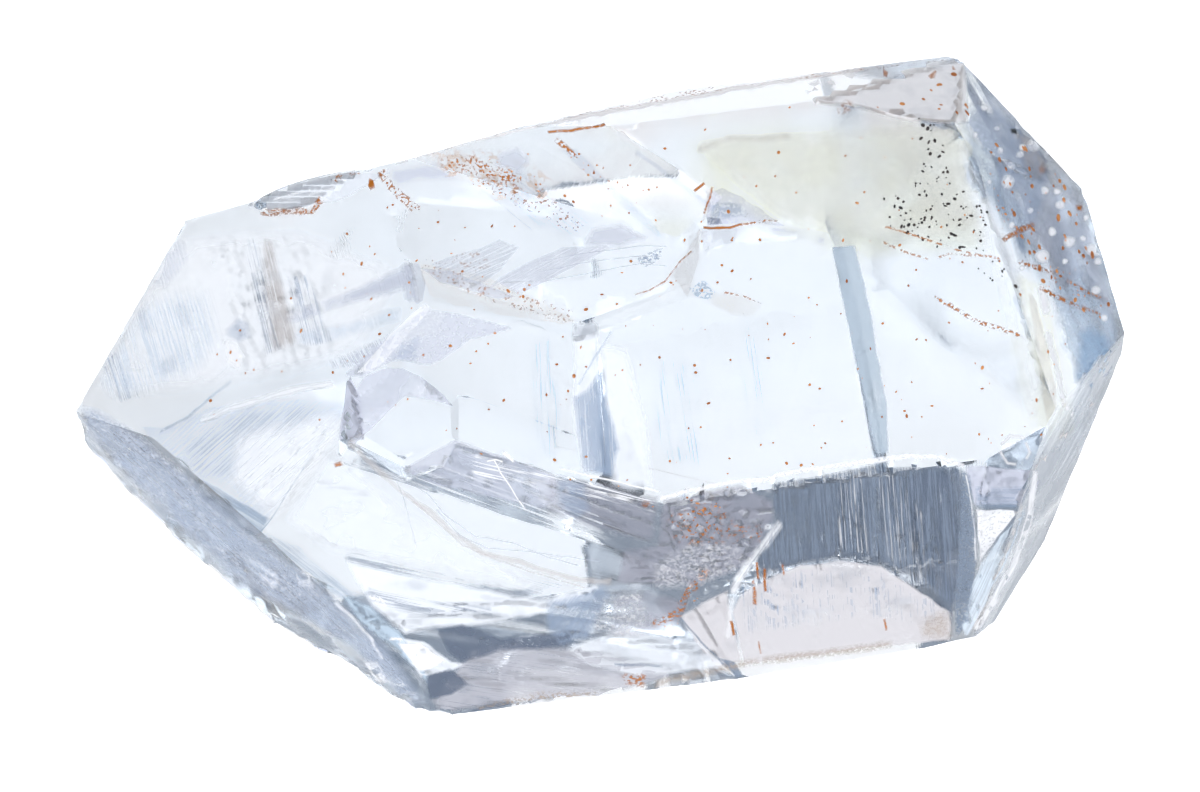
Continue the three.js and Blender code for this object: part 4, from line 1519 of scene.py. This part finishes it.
        soft=0.3, speckled=0.9, cover=0.45),
    *drawn(Tone.PEARL, 0.5, ((600, 590), (640, 586), (655, 610), (640, 640), (600, 640), (580, 625)),
        soft=0.4, speckled=0.8, cover=0.4),
    *drawn(Tone.SLATEBLUE, 0.35, ((974, 486), (1030, 486), (1022, 508), (976, 508)), soft=0.08,
        streaked=0.5, turn=0),
    *drawn(Tone.WHITE, 0.75, ((975, 508), (1020, 510), (1000, 535), (980, 562)), soft=0.06, speckled=0.4,
        cover=0.7),
    *drawn(Tone.SKY, 0.65, ((980, 562), (1000, 535), (1024, 510), (1032, 500), (1006, 562), (986, 602),
        (966, 640), (960, 626), (973, 580)), soft=0.1, streaked=0.4, turn=66),
    *drawn(Tone.PEARL, 0.8, ((1000, 446), (1010, 435), (1024, 438), (1030, 452), (1022, 466), (1008, 464),
        (1000, 452)), width=0.2),
    *drawn(Tone.FROST, 0.3, ((556, 606), (590, 594), (640, 588), (662, 600), (650, 618), (610, 640),
        (575, 642), (552, 630)), soft=0.25, speckled=0.8, cover=0.5),
    *drawn(Tone.WHITE, 0.75, ((1036, 470), (1030, 515), (1016, 560), (995, 600), (975, 630)), width=0.35),
    # painted highlight: a white patch and a white line along the border of the right end
    *drawn(Tone.WHITE, 0.9, ((1036, 284), (1046, 286), (1051, 310), (1046, 322), (1038, 302)), soft=0.2),
    *drawn(Tone.WHITE, 0.8, ((1047, 330), (1056, 365), (1062, 395), (1072, 418)), width=0.4, soft=0.2),
    # painted reflection: dark slate-blue streaks in the dark wedge low down
    *drawn(Tone.FROST, 0.4, ((343, 552), (365, 553), (402, 564), (480, 580), (532, 592), (520, 598),
        (440, 586), (380, 573), (345, 562)), ((350, 580), (380, 590), (410, 596), (440, 600), (525, 610),
        (500, 619), (430, 618), (395, 612), (370, 602)), soft=0.3, streaked=1, turn=-12, cover=0.5),
    # painted reflection: navy patches deepen the dark places low down where the crystal reflects the dim room
    *drawn(Tone.NAVY, 0.7, ((434, 630), (462, 622), (500, 636), (545, 632), (578, 628), (572, 648),
        (540, 652), (500, 652), (462, 664), (446, 652)), soft=0.2, speckled=0.2, cover=0.8),
    *drawn(Tone.NAVY, 0.75, ((424, 676), (450, 667), (470, 684), (452, 696), (430, 700)), soft=0.12),
    *drawn(Tone.NAVY, 0.6, ((440, 716), (490, 706), (540, 697), (542, 704), (450, 719)), soft=0.15,
        speckled=0.4),
    *drawn(Tone.FROST, 0.6, ((600, 662), (640, 662), (680, 664), (676, 667), (620, 667)), soft=0.08,
        streaked=0.5, turn=-4),
    *drawn(Tone.FROST, 0.6, ((680, 617), (700, 640), (722, 663), (740, 678)), width=0.12),
    *drawn(Tone.FROST, 0.7, ((718, 656), (736, 662), (744, 676), (736, 678)), soft=0.08),
    *drawn(Tone.SLATEBLUE, 0.62, ((572, 398), (584, 390), (600, 368), (605, 362), (608, 400), (616, 425),
        (621, 450), (613, 478), (582, 474), (575, 430)), soft=0.25, streaked=0.6, turn=-87, cover=0.75),
    *drawn(Tone.SLATE, 0.5, ((578, 385), (592, 362), (612, 330)), width=0.12),
)

STAINS = (
    *drawn(Tone.RUST, 0.6, ((330, 180), (385, 160), (470, 136), (550, 117), (640, 100), (750, 82),
        (850, 68), (955, 56)), width=0.4, speckled=1, cover=0.22),
    *drawn(Tone.SLATEBLUE, 0.45, ((545, 600), (580, 590), (612, 582), (612, 596), (588, 640), (560, 645),
        (545, 630)), soft=0.3, streaked=0.3, turn=50),
    *drawn(Tone.SOIL, 0.4, ((1120, 376), (1124, 372), (1096, 446), (1042, 566), (1016, 608), (1005, 612),
        (1040, 540), (1086, 440)), soft=0.3, speckled=0.3, cover=0.6),
    *drawn(Tone.RUST, 0.8, ((432, 156), (475, 154), (500, 164), (522, 174), (548, 190), (540, 198),
        (520, 188), (490, 188), (468, 178), (445, 174)), soft=0.3, speckled=1, cover=0.3),
    *drawn(Tone.RUST, 0.55, ((470, 170), (545, 190), (585, 222), (590, 236), (555, 226), (510, 205),
        (480, 190)), soft=0.3, speckled=1, cover=0.2),
    *drawn(Tone.RUST, 0.9, ((548, 133), (572, 130), (592, 127), (606, 124)), width=0.18, speckled=0.7,
        cover=0.7),
    *drawn(Tone.RUST, 0.8, ((555, 138), (564, 145), (576, 156)), width=0.3, speckled=1, cover=0.5),
    *drawn(Tone.RUST, 1, ((369, 178), (373, 180), (375, 188), (371, 191), (368, 186)), soft=0.06),
    *drawn(Tone.RUST, 0.9, ((381, 161), (390, 159), (398, 161), (384, 165)), soft=0.1),
    *drawn(Tone.RUST, 0.7, ((380, 170), (390, 186), (402, 198), (420, 212)), width=0.45, speckled=1,
        cover=0.4),
    *drawn(Tone.RUST, 0.8, ((260, 213), (295, 212), (312, 211), (322, 198)), width=0.35, speckled=0.8,
        cover=0.5),
    *drawn(Tone.RUST, 0.35, ((425, 262), (470, 285), (510, 300), (575, 316)), width=0.8, speckled=1,
        cover=0.2),
    *drawn(Tone.RUST, 0.35, ((440, 255), (480, 248), (500, 262), (480, 275), (455, 270)), soft=0.3,
        speckled=1, cover=0.2),
    *drawn(Tone.RUST, 1, ((703, 227), (720, 228), (742, 225)), width=0.16),
    *drawn(Tone.RUST, 0.7, ((742, 225), (765, 221), (778, 222)), width=0.14, speckled=1, cover=0.5),
    *drawn(Tone.RUST, 0.9, ((693, 192), (699, 187), (705, 183)), width=0.16),
    *drawn(Tone.RUST, 0.8, ((712, 186), (709, 200), (704, 214)), width=0.14, speckled=0.5),
    *drawn(Tone.RUST, 0.7, ((634, 295), (650, 290), (665, 281), (680, 262), (692, 250)), width=0.1,
        speckled=0.6),
    *drawn(Tone.RUST, 0.6, ((722, 292), (745, 296), (762, 304)), width=0.12, speckled=1, cover=0.5),
    *drawn(Tone.RUST, 0.5, ((836, 106), (845, 98), (860, 104), (850, 112), (838, 116)), soft=0.2,
        speckled=1, cover=0.4),
    *drawn(Tone.RUST, 0.7, ((884, 227), (915, 235), (945, 246), (960, 252), (1000, 258)), width=0.14,
        speckled=1, cover=0.5),
    *drawn(Tone.RUST, 0.6, ((882, 241), (905, 252), (928, 259), (956, 253), (975, 256)), width=0.14,
        speckled=1, cover=0.5),
    *drawn(Tone.RUST, 0.8, ((1018, 261), (1034, 267), (1056, 274)), ((1038, 286), (1060, 298), (1084, 308),
        (1102, 315)), ((1066, 280), (1086, 291), (1108, 300)), ((935, 297), (955, 308), (978, 322),
        (1004, 330), (1022, 336)), width=0.24, speckled=1, cover=0.45),
    *drawn(Tone.RUST, 0.7, ((1002, 240), (1018, 231), (1034, 224)), width=0.3, soft=0.1, speckled=0.8,
        cover=0.6),
    *drawn(Tone.RUST, 0.4, ((1034, 170), (1044, 162), (1050, 173), (1040, 175)), soft=0.2),
    *drawn(Tone.RUST, 0.45, ((980, 146), (990, 150), (1000, 166), (990, 160)), soft=0.2, speckled=0.6),
    *drawn(Tone.RUST, 0.6, ((994, 176), (1004, 174), (1002, 181)), soft=0.15, speckled=0.4),
    *drawn(Tone.RUST, 0.9, ((1076, 205), (1083, 205), (1082, 211), (1077, 210)), soft=0.12),
    *drawn(Tone.RUST, 0.6, ((882, 68), (889, 72), (888, 78), (883, 76)), ((927, 76), (940, 66), (936, 78),
        (930, 79)), soft=0.08),
    *drawn(Tone.RUST, 0.7, ((950, 60), (956, 70), (957, 74), (951, 70)), soft=0.08),
    *drawn(Tone.RUST, 0.6, ((952, 100), (957, 100), (957, 106), (953, 106)), soft=0.08),
    *drawn(Tone.RUST, 0.95, ((332, 464), (342, 461), (344, 465), (334, 468)), soft=0.1, speckled=0.5),
    *drawn(Tone.RUST, 0.75, ((664, 512), (690, 502), (714, 500), (735, 518), (770, 526), (764, 545),
        (720, 545), (690, 546), (668, 540)), soft=0.35, speckled=1, cover=0.2),
    *drawn(Tone.RUST, 0.7, ((625, 498), (648, 500), (658, 510), (640, 508)), soft=0.2, speckled=1,
        cover=0.5),
    *drawn(Tone.RUST, 0.8, ((706, 568), (698, 584), (684, 596), (680, 612), (664, 620), (652, 624)),
        width=0.45, speckled=1, cover=0.36),
    *drawn(Tone.RUST, 0.95, ((752, 580), (754, 592), (755, 606)), width=0.2, speckled=0.5, cover=0.7),
    *drawn(Tone.RUST, 0.95, ((764, 568), (765, 580), (766, 592)), width=0.16, speckled=0.5, cover=0.6),
    *drawn(Tone.RUST, 0.9, ((757, 562), (758, 570), (759, 580)), ((782, 564), (783, 572), (784, 580)),
        width=0.14, speckled=0.5, cover=0.6),
    *drawn(Tone.RUST, 0.95, ((731, 621), (732, 628), (733, 635)), width=0.18, speckled=0.4, cover=0.7),
    *drawn(Tone.RUST, 0.8, ((759, 640), (761, 655)), width=0.1, speckled=0.5),
    *drawn(Tone.RUST, 0.9, ((885, 618), (886, 624), (887, 631)), width=0.14, speckled=0.5),
    *drawn(Tone.RUST, 0.7, ((618, 672), (648, 674), (644, 688), (625, 685)), soft=0.2, speckled=1,
        cover=0.5),
    *drawn(Tone.SOIL, 0.4, ((640, 682), (700, 666), (742, 658), (850, 646), (945, 632), (945, 640),
        (850, 655), (742, 670), (690, 682), (650, 690)), soft=0.25, speckled=0.6, cover=0.6),
    *drawn(Tone.SOIL, 0.5, ((480, 702), (540, 690), (640, 690), (640, 700), (540, 706), (450, 722)),
        soft=0.3, speckled=1, cover=0.45),
    *drawn(Tone.SOIL, 0.35, ((915, 618), (950, 606), (955, 640), (920, 640)), soft=0.4, speckled=0.5),
    *drawn(Tone.BLACK, 0.9, ((1009, 128), (1016, 127), (1018, 134), (1011, 135)), ((1060, 168), (1066, 167),
        (1067, 173), (1061, 173)), soft=0.1),
)

HAZES = (
    *drawn(Tone.HAZE, 0.46, ((78, 402), (100, 407), (150, 440), (250, 530), (330, 590), (385, 640),
        (436, 712), (400, 700), (350, 650), (280, 608), (240, 589), (140, 492), (82, 430)), soft=0.4,
        streaked=0.35, turn=-42, speckled=0.35, cover=0.65),
)

# painted glints: white round patches for out-of-focus points of light in the right end
GLINT_SPOTS = (
    (1048, 150, 4), (1060, 205, 6), (1012, 225, 4), (1096, 290, 6), (1105, 245, 4), (1080, 160, 4),
    (998, 128, 4), (1030, 210, 4), (1052, 232, 5), (1086, 218, 4), (1104, 318, 4), (1066, 262, 4),
    (990, 182, 3), (1022, 268, 3), (1035, 145, 8), (1008, 182, 9), (1070, 242, 7), (1092, 250, 8),
    (1042, 256, 8), (1045, 190, 5), (1020, 155, 5), (985, 108, 4), (1098, 262, 5), (975, 135, 4),
    (1057, 192, 5), (1000, 150, 4), (1022, 147, 4), (1083, 238, 4), (1012, 166, 5),
)


# ---------------------------------------------------------------- grains on the crystal

@dataclass(frozen=True)
class GrainTree:
    """The Geometry Nodes tree that strews grains over patches and drops them on the crystal."""

    name: str = "strewn_grains"

    def build(self) -> bpy.types.NodeTree:
        """Make the tree, with its sizes as inputs."""
        tree = bpy.data.node_groups.new(self.name, "GeometryNodeTree")
        face = tree.interface
        for label, kind in (("Patches", "NodeSocketGeometry"), ("Ground", "NodeSocketObject"),
                            ("Density", "NodeSocketFloat"), ("Smallest", "NodeSocketFloat"),
                            ("Largest", "NodeSocketFloat"), ("Flatness", "NodeSocketFloat"),
                            ("Seed", "NodeSocketInt"), ("Finish", "NodeSocketMaterial")):
            face.new_socket(name=label, in_out="INPUT", socket_type=kind)
        face.new_socket(name="Grains", in_out="OUTPUT", socket_type="NodeSocketGeometry")
        nodes = Nodes(tree)
        given = nodes.add("NodeGroupInput").outputs
        strewn = nodes.add("GeometryNodeDistributePointsOnFaces", {"distribute_method": "RANDOM"},
                           Mesh=given["Patches"], Density=given["Density"], Seed=given["Seed"])
        ground = nodes.add("GeometryNodeObjectInfo", {"transform_space": "RELATIVE"}, Object=given["Ground"])
        ray = nodes.add("GeometryNodeRaycast", Target_Geometry=ground.outputs["Geometry"], Ray_Length=0.1)
        nodes.feed(ray, "Ray Direction", (0.0, 0.0, -1.0))
        kept = nodes.add("GeometryNodeSeparateGeometry", {"domain": "POINT"},
                         Geometry=strewn.outputs["Points"], Selection=ray.outputs["Is Hit"])
        spin = nodes.add("FunctionNodeRandomValue", {"data_type": "FLOAT_VECTOR"}, Seed=given["Seed"])
        nodes.feed(spin, 1, (6.28, 6.28, 6.28))
        upright = nodes.add("FunctionNodeAlignRotationToVector", {"axis": "Z"}, Rotation=spin.outputs[0],
                            Vector=ray.outputs["Hit Normal"])
        size = nodes.add("FunctionNodeRandomValue", {"data_type": "FLOAT"}, Seed=given["Seed"])
        nodes.feed(size, 2, given["Smallest"])
        nodes.feed(size, 3, given["Largest"])
        shape = nodes.add("FunctionNodeRandomValue", {"data_type": "FLOAT_VECTOR"}, Seed=given["Seed"])
        nodes.feed(shape, 0, (0.6, 0.6, 0.8))
        nodes.feed(shape, 1, (1.5, 1.1, 1.2))
        flat = nodes.add("ShaderNodeCombineXYZ", X=1.0, Y=1.0, Z=given["Flatness"])
        form = nodes.add("ShaderNodeVectorMath", {"operation": "MULTIPLY"})
        nodes.feed(form, 0, shape.outputs[0])
        nodes.feed(form, 1, flat.outputs[0])
        scale = nodes.add("ShaderNodeVectorMath", {"operation": "SCALE"})
        nodes.feed(scale, 0, form.outputs[0])
        nodes.feed(scale, "Scale", size.outputs[1])
        ball = nodes.add("GeometryNodeMeshIcoSphere", Radius=0.5, Subdivisions=2)
        grains = nodes.add("GeometryNodeInstanceOnPoints", Points=kept.outputs[0], Instance=ball.outputs[0],
                           Rotation=upright.outputs[0], Scale=scale.outputs[0])
        dropped = nodes.add("GeometryNodeSetPosition", Geometry=grains.outputs[0],
                            Position=ray.outputs["Hit Position"])
        real = nodes.add("GeometryNodeRealizeInstances", Geometry=dropped.outputs[0])
        done = nodes.add("GeometryNodeSetMaterial", Geometry=real.outputs[0], Material=given["Finish"])
        nodes.add("NodeGroupOutput", Grains=done.outputs[0])
        return tree


@dataclass(frozen=True)
class GrainField:
    """One kind of grain on one or more patches of the crystal.

    Attributes:
        name: the piece's name.
        outlines: the patches, as (x, y) points.
        density: grains for each square millimetre.
        smallest: the smallest grain's size.
        largest: the largest grain's size.
        flatness: a grain's height for its width.
        seed: which strewing.
        above: the height from which the grains are dropped.
    """

    name: str
    outlines: tuple[tuple[Point, ...], ...]
    density: float
    smallest: float
    largest: float
    flatness: float = 0.6
    seed: int = 1
    above: float = 30.0

    def build(self, tree: bpy.types.NodeTree, ground: bpy.types.Object,
              finish: bpy.types.Material) -> bpy.types.Object:
        """Make the grains.

        Args:
            tree: the Geometry Nodes tree.
            ground: the crystal.
            finish: the grains' material.

        Returns:
            The piece, as a plain mesh.
        """
        shape = bmesh.new()
        for outline in self.outlines:
            shape.faces.new([shape.verts.new((x * MM, y * MM, self.above * MM)) for x, y in outline])
        bmesh.ops.triangulate(shape, faces=shape.faces)
        patches = bpy.data.meshes.new(self.name)
        shape.to_mesh(patches)
        shape.free()
        piece = placed(self.name, patches)
        strew = piece.modifiers.new("strew", "NODES")
        strew.node_group = tree
        values = {"Ground": ground, "Finish": finish, "Density": self.density / MM**2, "Seed": self.seed,
                  "Smallest": self.smallest * MM, "Largest": self.largest * MM, "Flatness": self.flatness}
        for label, value in values.items():
            strew[tree.interface.items_tree[label].identifier] = value
        made = bpy.data.meshes.new_from_object(piece.evaluated_get(bpy.context.evaluated_depsgraph_get()))
        made.materials.clear()
        made.materials.append(finish)
        made.polygons.foreach_set("material_index", [0] * len(made.polygons))
        piece.modifiers.clear()
        piece.data = made
        log.info("%s: %d triangles", self.name, len(made.polygons))
        return piece


RUST = Mineral("rust", (0.34, 0.10, 0.02, 1.0), (0.66, 0.27, 0.08, 1.0), 0.8)
BLACK = Mineral("black_mineral", (0.010, 0.009, 0.010, 1.0), (0.05, 0.035, 0.03, 1.0), 0.5)

RUST_CLUSTERS = GrainField("rust_clusters", (
    ((-5.1, 12.1), (-2.9, 11.8), *HOLLOW_RUST[2:5], (-4.8, 11.2)),
    (*SIGHT.seen((555, 140), (590, 160), (640, 185), (660, 195)), (3.2, 9.0), (1.2, 10.2)),
    CORNER_RUST,
    SIGHT.seen((655, 640), (670, 615), (690, 590), (700, 590), (695, 610), (675, 635)),
    SIGHT.seen((985, 150), (1000, 200), (1035, 230), (1000, 245)),
    SIGHT.seen((1040, 290), (1100, 305), (1060, 260)),
), 9.0, 0.025, 0.13, 0.5, 5)

RUST_DUST = GrainField("rust_dust", (
    ((-20.0, 3.0), (-9.0, 10.5), (0.0, 11.8), (14.0, 11.5), (19.5, 8.0), (22.0, 0.0), (19.0, -5.0),
     (2.0, -5.0), (-8.0, 0.0), (-14.0, 2.0)),
), 0.5, 0.05, 0.16, 0.6, 7)

RUST_FLECKS = GrainField("rust_flecks", (
    SIGHT.patch(((985, 130), (1010, 125), (1060, 180), (1085, 235), (1112, 320), (1060, 312), (1020, 262),
                 (1000, 215), (985, 190))),
    SIGHT.patch(((880, 120), (900, 100), (960, 64), (964, 120), (905, 118))),
), 2.4, 0.05, 0.3, 0.3, 11)

BLACK_GRAINS = GrainField("black_grains", (
    SIGHT.patch(((905, 124), (930, 122), (938, 150), (955, 190), (980, 215), (985, 258), (960, 252),
                 (925, 250), (880, 240), (878, 200), (905, 200), (915, 160))),
    SIGHT.patch(((966, 262), (990, 264), (1012, 288), (1006, 292), (975, 282), (964, 272))),
), 7.5, 0.07, 0.17, 1.0, 9)


# ---------------------------------------------------------------- the studio

@dataclass(frozen=True)
class Studio:
    """A plain pale floor under soft light, with the camera straight above.

    Attributes:
        glow: how bright the floor itself is near the crystal.
        glow_reach: from and to which distance that glow fades for light that the crystal gathers.
        seen_glow: how bright the floor is where it is seen past the crystal.
        dim: the tone of the room low down.
        pale: its tone overhead and in front.
        overhead: from and to which height of the look upwards the room turns pale.
        front: from and to which share of the look frontwards it turns pale.
        lens: the camera's focal length.
        sight: where the camera hangs and how it is turned.
    """

    glow: float = 0.52
    glow_reach: tuple[float, float] = (30.0, 120.0)
    seen_glow: float = 1.2
    dim: Colour = (0.20, 0.245, 0.31, 1.0)
    pale: Colour = (0.88, 0.90, 0.94, 1.0)
    overhead: tuple[float, float] = (0.55, 0.85)
    front: tuple[float, float] = (0.2, 0.8)
    lens: float = 200.0
    sight: Sight = SIGHT

    def floor(self) -> bpy.types.Object:
        """Lay the floor."""
        half = 1.0
        low = -0.02 * MM
        mesh = bpy.data.meshes.new("floor")
        mesh.from_pydata([(-half, -half, low), (half, -half, low), (half, half, low), (-half, half, low)], [],
                         [(0, 1, 2, 3)])
        piece = placed("floor", mesh)
        material = bpy.data.materials.new("pale_floor")
        material.use_nodes = True
        material.node_tree.nodes.clear()
        nodes = Nodes(material.node_tree)
        away = nodes.add("ShaderNodeVectorMath", {"operation": "LENGTH"})
        nodes.feed(away, 0, nodes.place())
        near, far = (reach * MM for reach in self.glow_reach)
        gathered = nodes.span(away.outputs["Value"], near, far, self.glow, 0.0)
        seen = nodes.add("ShaderNodeLightPath").outputs["Is Camera Ray"]
        strength = nodes.maths("MAXIMUM", gathered, nodes.maths("MULTIPLY", seen, self.seen_glow))
        glow = nodes.add("ShaderNodeEmission", Strength=strength)
        paint = nodes.add("ShaderNodeBsdfDiffuse", Color=(0.8, 0.8, 0.8, 1.0))
        both = nodes.add("ShaderNodeAddShader")
        nodes.feed(both, 0, paint.outputs[0])
        nodes.feed(both, 1, glow.outputs[0])
        nodes.add("ShaderNodeOutputMaterial", Surface=both.outputs[0])
        mesh.materials.append(material)
        return piece

    def room(self) -> None:
        """Make the room: slate-blue low down behind the crystal, pale overhead and in front of it."""
        world = bpy.data.worlds.new("room")
        world.use_nodes = True
        world.node_tree.nodes.clear()
        nodes = Nodes(world.node_tree)
        way = nodes.add("ShaderNodeTexCoord").outputs["Generated"]
        axes = nodes.add("ShaderNodeSeparateXYZ", Vector=way).outputs
        overhead = nodes.span(axes["Z"], *self.overhead)
        front = nodes.span(nodes.maths("MULTIPLY", axes["Y"], -1.0), *self.front)
        lit = nodes.maths("MAXIMUM", overhead, front)
        seen = nodes.add("ShaderNodeLightPath").outputs["Is Camera Ray"]
        colour = nodes.mix(nodes.maths("MAXIMUM", lit, seen), self.dim, self.pale)
        back = nodes.add("ShaderNodeBackground", Color=colour, Strength=1.0)
        nodes.add("ShaderNodeOutputWorld", Surface=back.outputs[0])
        bpy.context.scene.world = world

    def lamp(self, name: str, place: tuple[float, float, float], size: float, power: float) -> None:
        """Hang a round soft light that looks at the crystal.

        Args:
            name: what it is called.
            place: where it hangs, in metres.
            size: its diameter in metres.
            power: its power in watts.
        """
        light = bpy.data.lights.new(name, "AREA")
        light.shape = "DISK"
        light.size = size
        light.energy = power
        hung = placed(name, light)
        hung.location = place
        hung.rotation_euler = (-Vector(place)).to_track_quat("-Z", "Y").to_euler()

    def camera(self) -> None:
        """Hang the camera."""
        lens = bpy.data.cameras.new("camera")
        lens.lens = self.lens
        lens.sensor_width = 36.0
        lens.clip_start = 0.01
        hung = placed("camera", lens)
        hung.location = self.sight.eye() * MM
        hung.rotation_euler = (0.0, 0.0, math.radians(self.sight.roll))
        bpy.context.scene.camera = hung

    def build(self) -> None:
        """Set up floor, room, lamps and camera."""
        self.camera()
        self.floor()
        self.room()
        self.lamp("back_light", (-0.28, 0.24, 0.65), size=0.40, power=1.8)
        self.lamp("front_light", (0.12, -0.36, 0.58), size=0.40, power=1.2)
        bpy.context.scene.view_settings.view_transform = "Standard"
        log.info("studio: floor, room, lamps and camera")


# ---------------------------------------------------------------- putting it together

def dress(piece: bpy.types.Object) -> None:
    """Let a piece ride on the crystal's body."""
    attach(piece, BODY)


def main() -> None:
    """Build the studio, the crystal and everything on it."""
    logging.basicConfig(level=logging.INFO, format="%(message)s")
    Studio().build()
    crystal = CrystalSkin().build(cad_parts[NODE])
    crystal.data.materials.append(ClearCrystal().material())
    dress(crystal)
    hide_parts(NODE)
    surface = BVHTree.FromObject(crystal, bpy.context.evaluated_depsgraph_get())
    finish = FilmFinish()
    group = finish.mask()
    solid = finish.solid(group)
    spots = tuple(spot(*row) for row in GLINT_SPOTS)
    for sheets, cover in (
        (Sheets("inner_veils", VEILS, -0.05), finish.clear(group)),
        (Sheets("milky_washes", WASHES, 0.008), solid),
        (Sheets("frost_marks", MARKS + spots, 0.025), solid),
        (Sheets("rust_films", STAINS, 0.042), solid),
        (Sheets("end_haze", HAZES, 0.2, cliff=3.0), solid),
    ):
        dress(sheets.build(surface, SIGHT, cover))
    tree = GrainTree().build()
    rust, black = RUST.material(), BLACK.material()
    for field, mineral in ((RUST_CLUSTERS, rust), (RUST_DUST, rust), (RUST_FLECKS, rust),
                           (BLACK_GRAINS, black)):
        dress(field.build(tree, crystal, mineral))


if __name__ == "__main__":
    main()
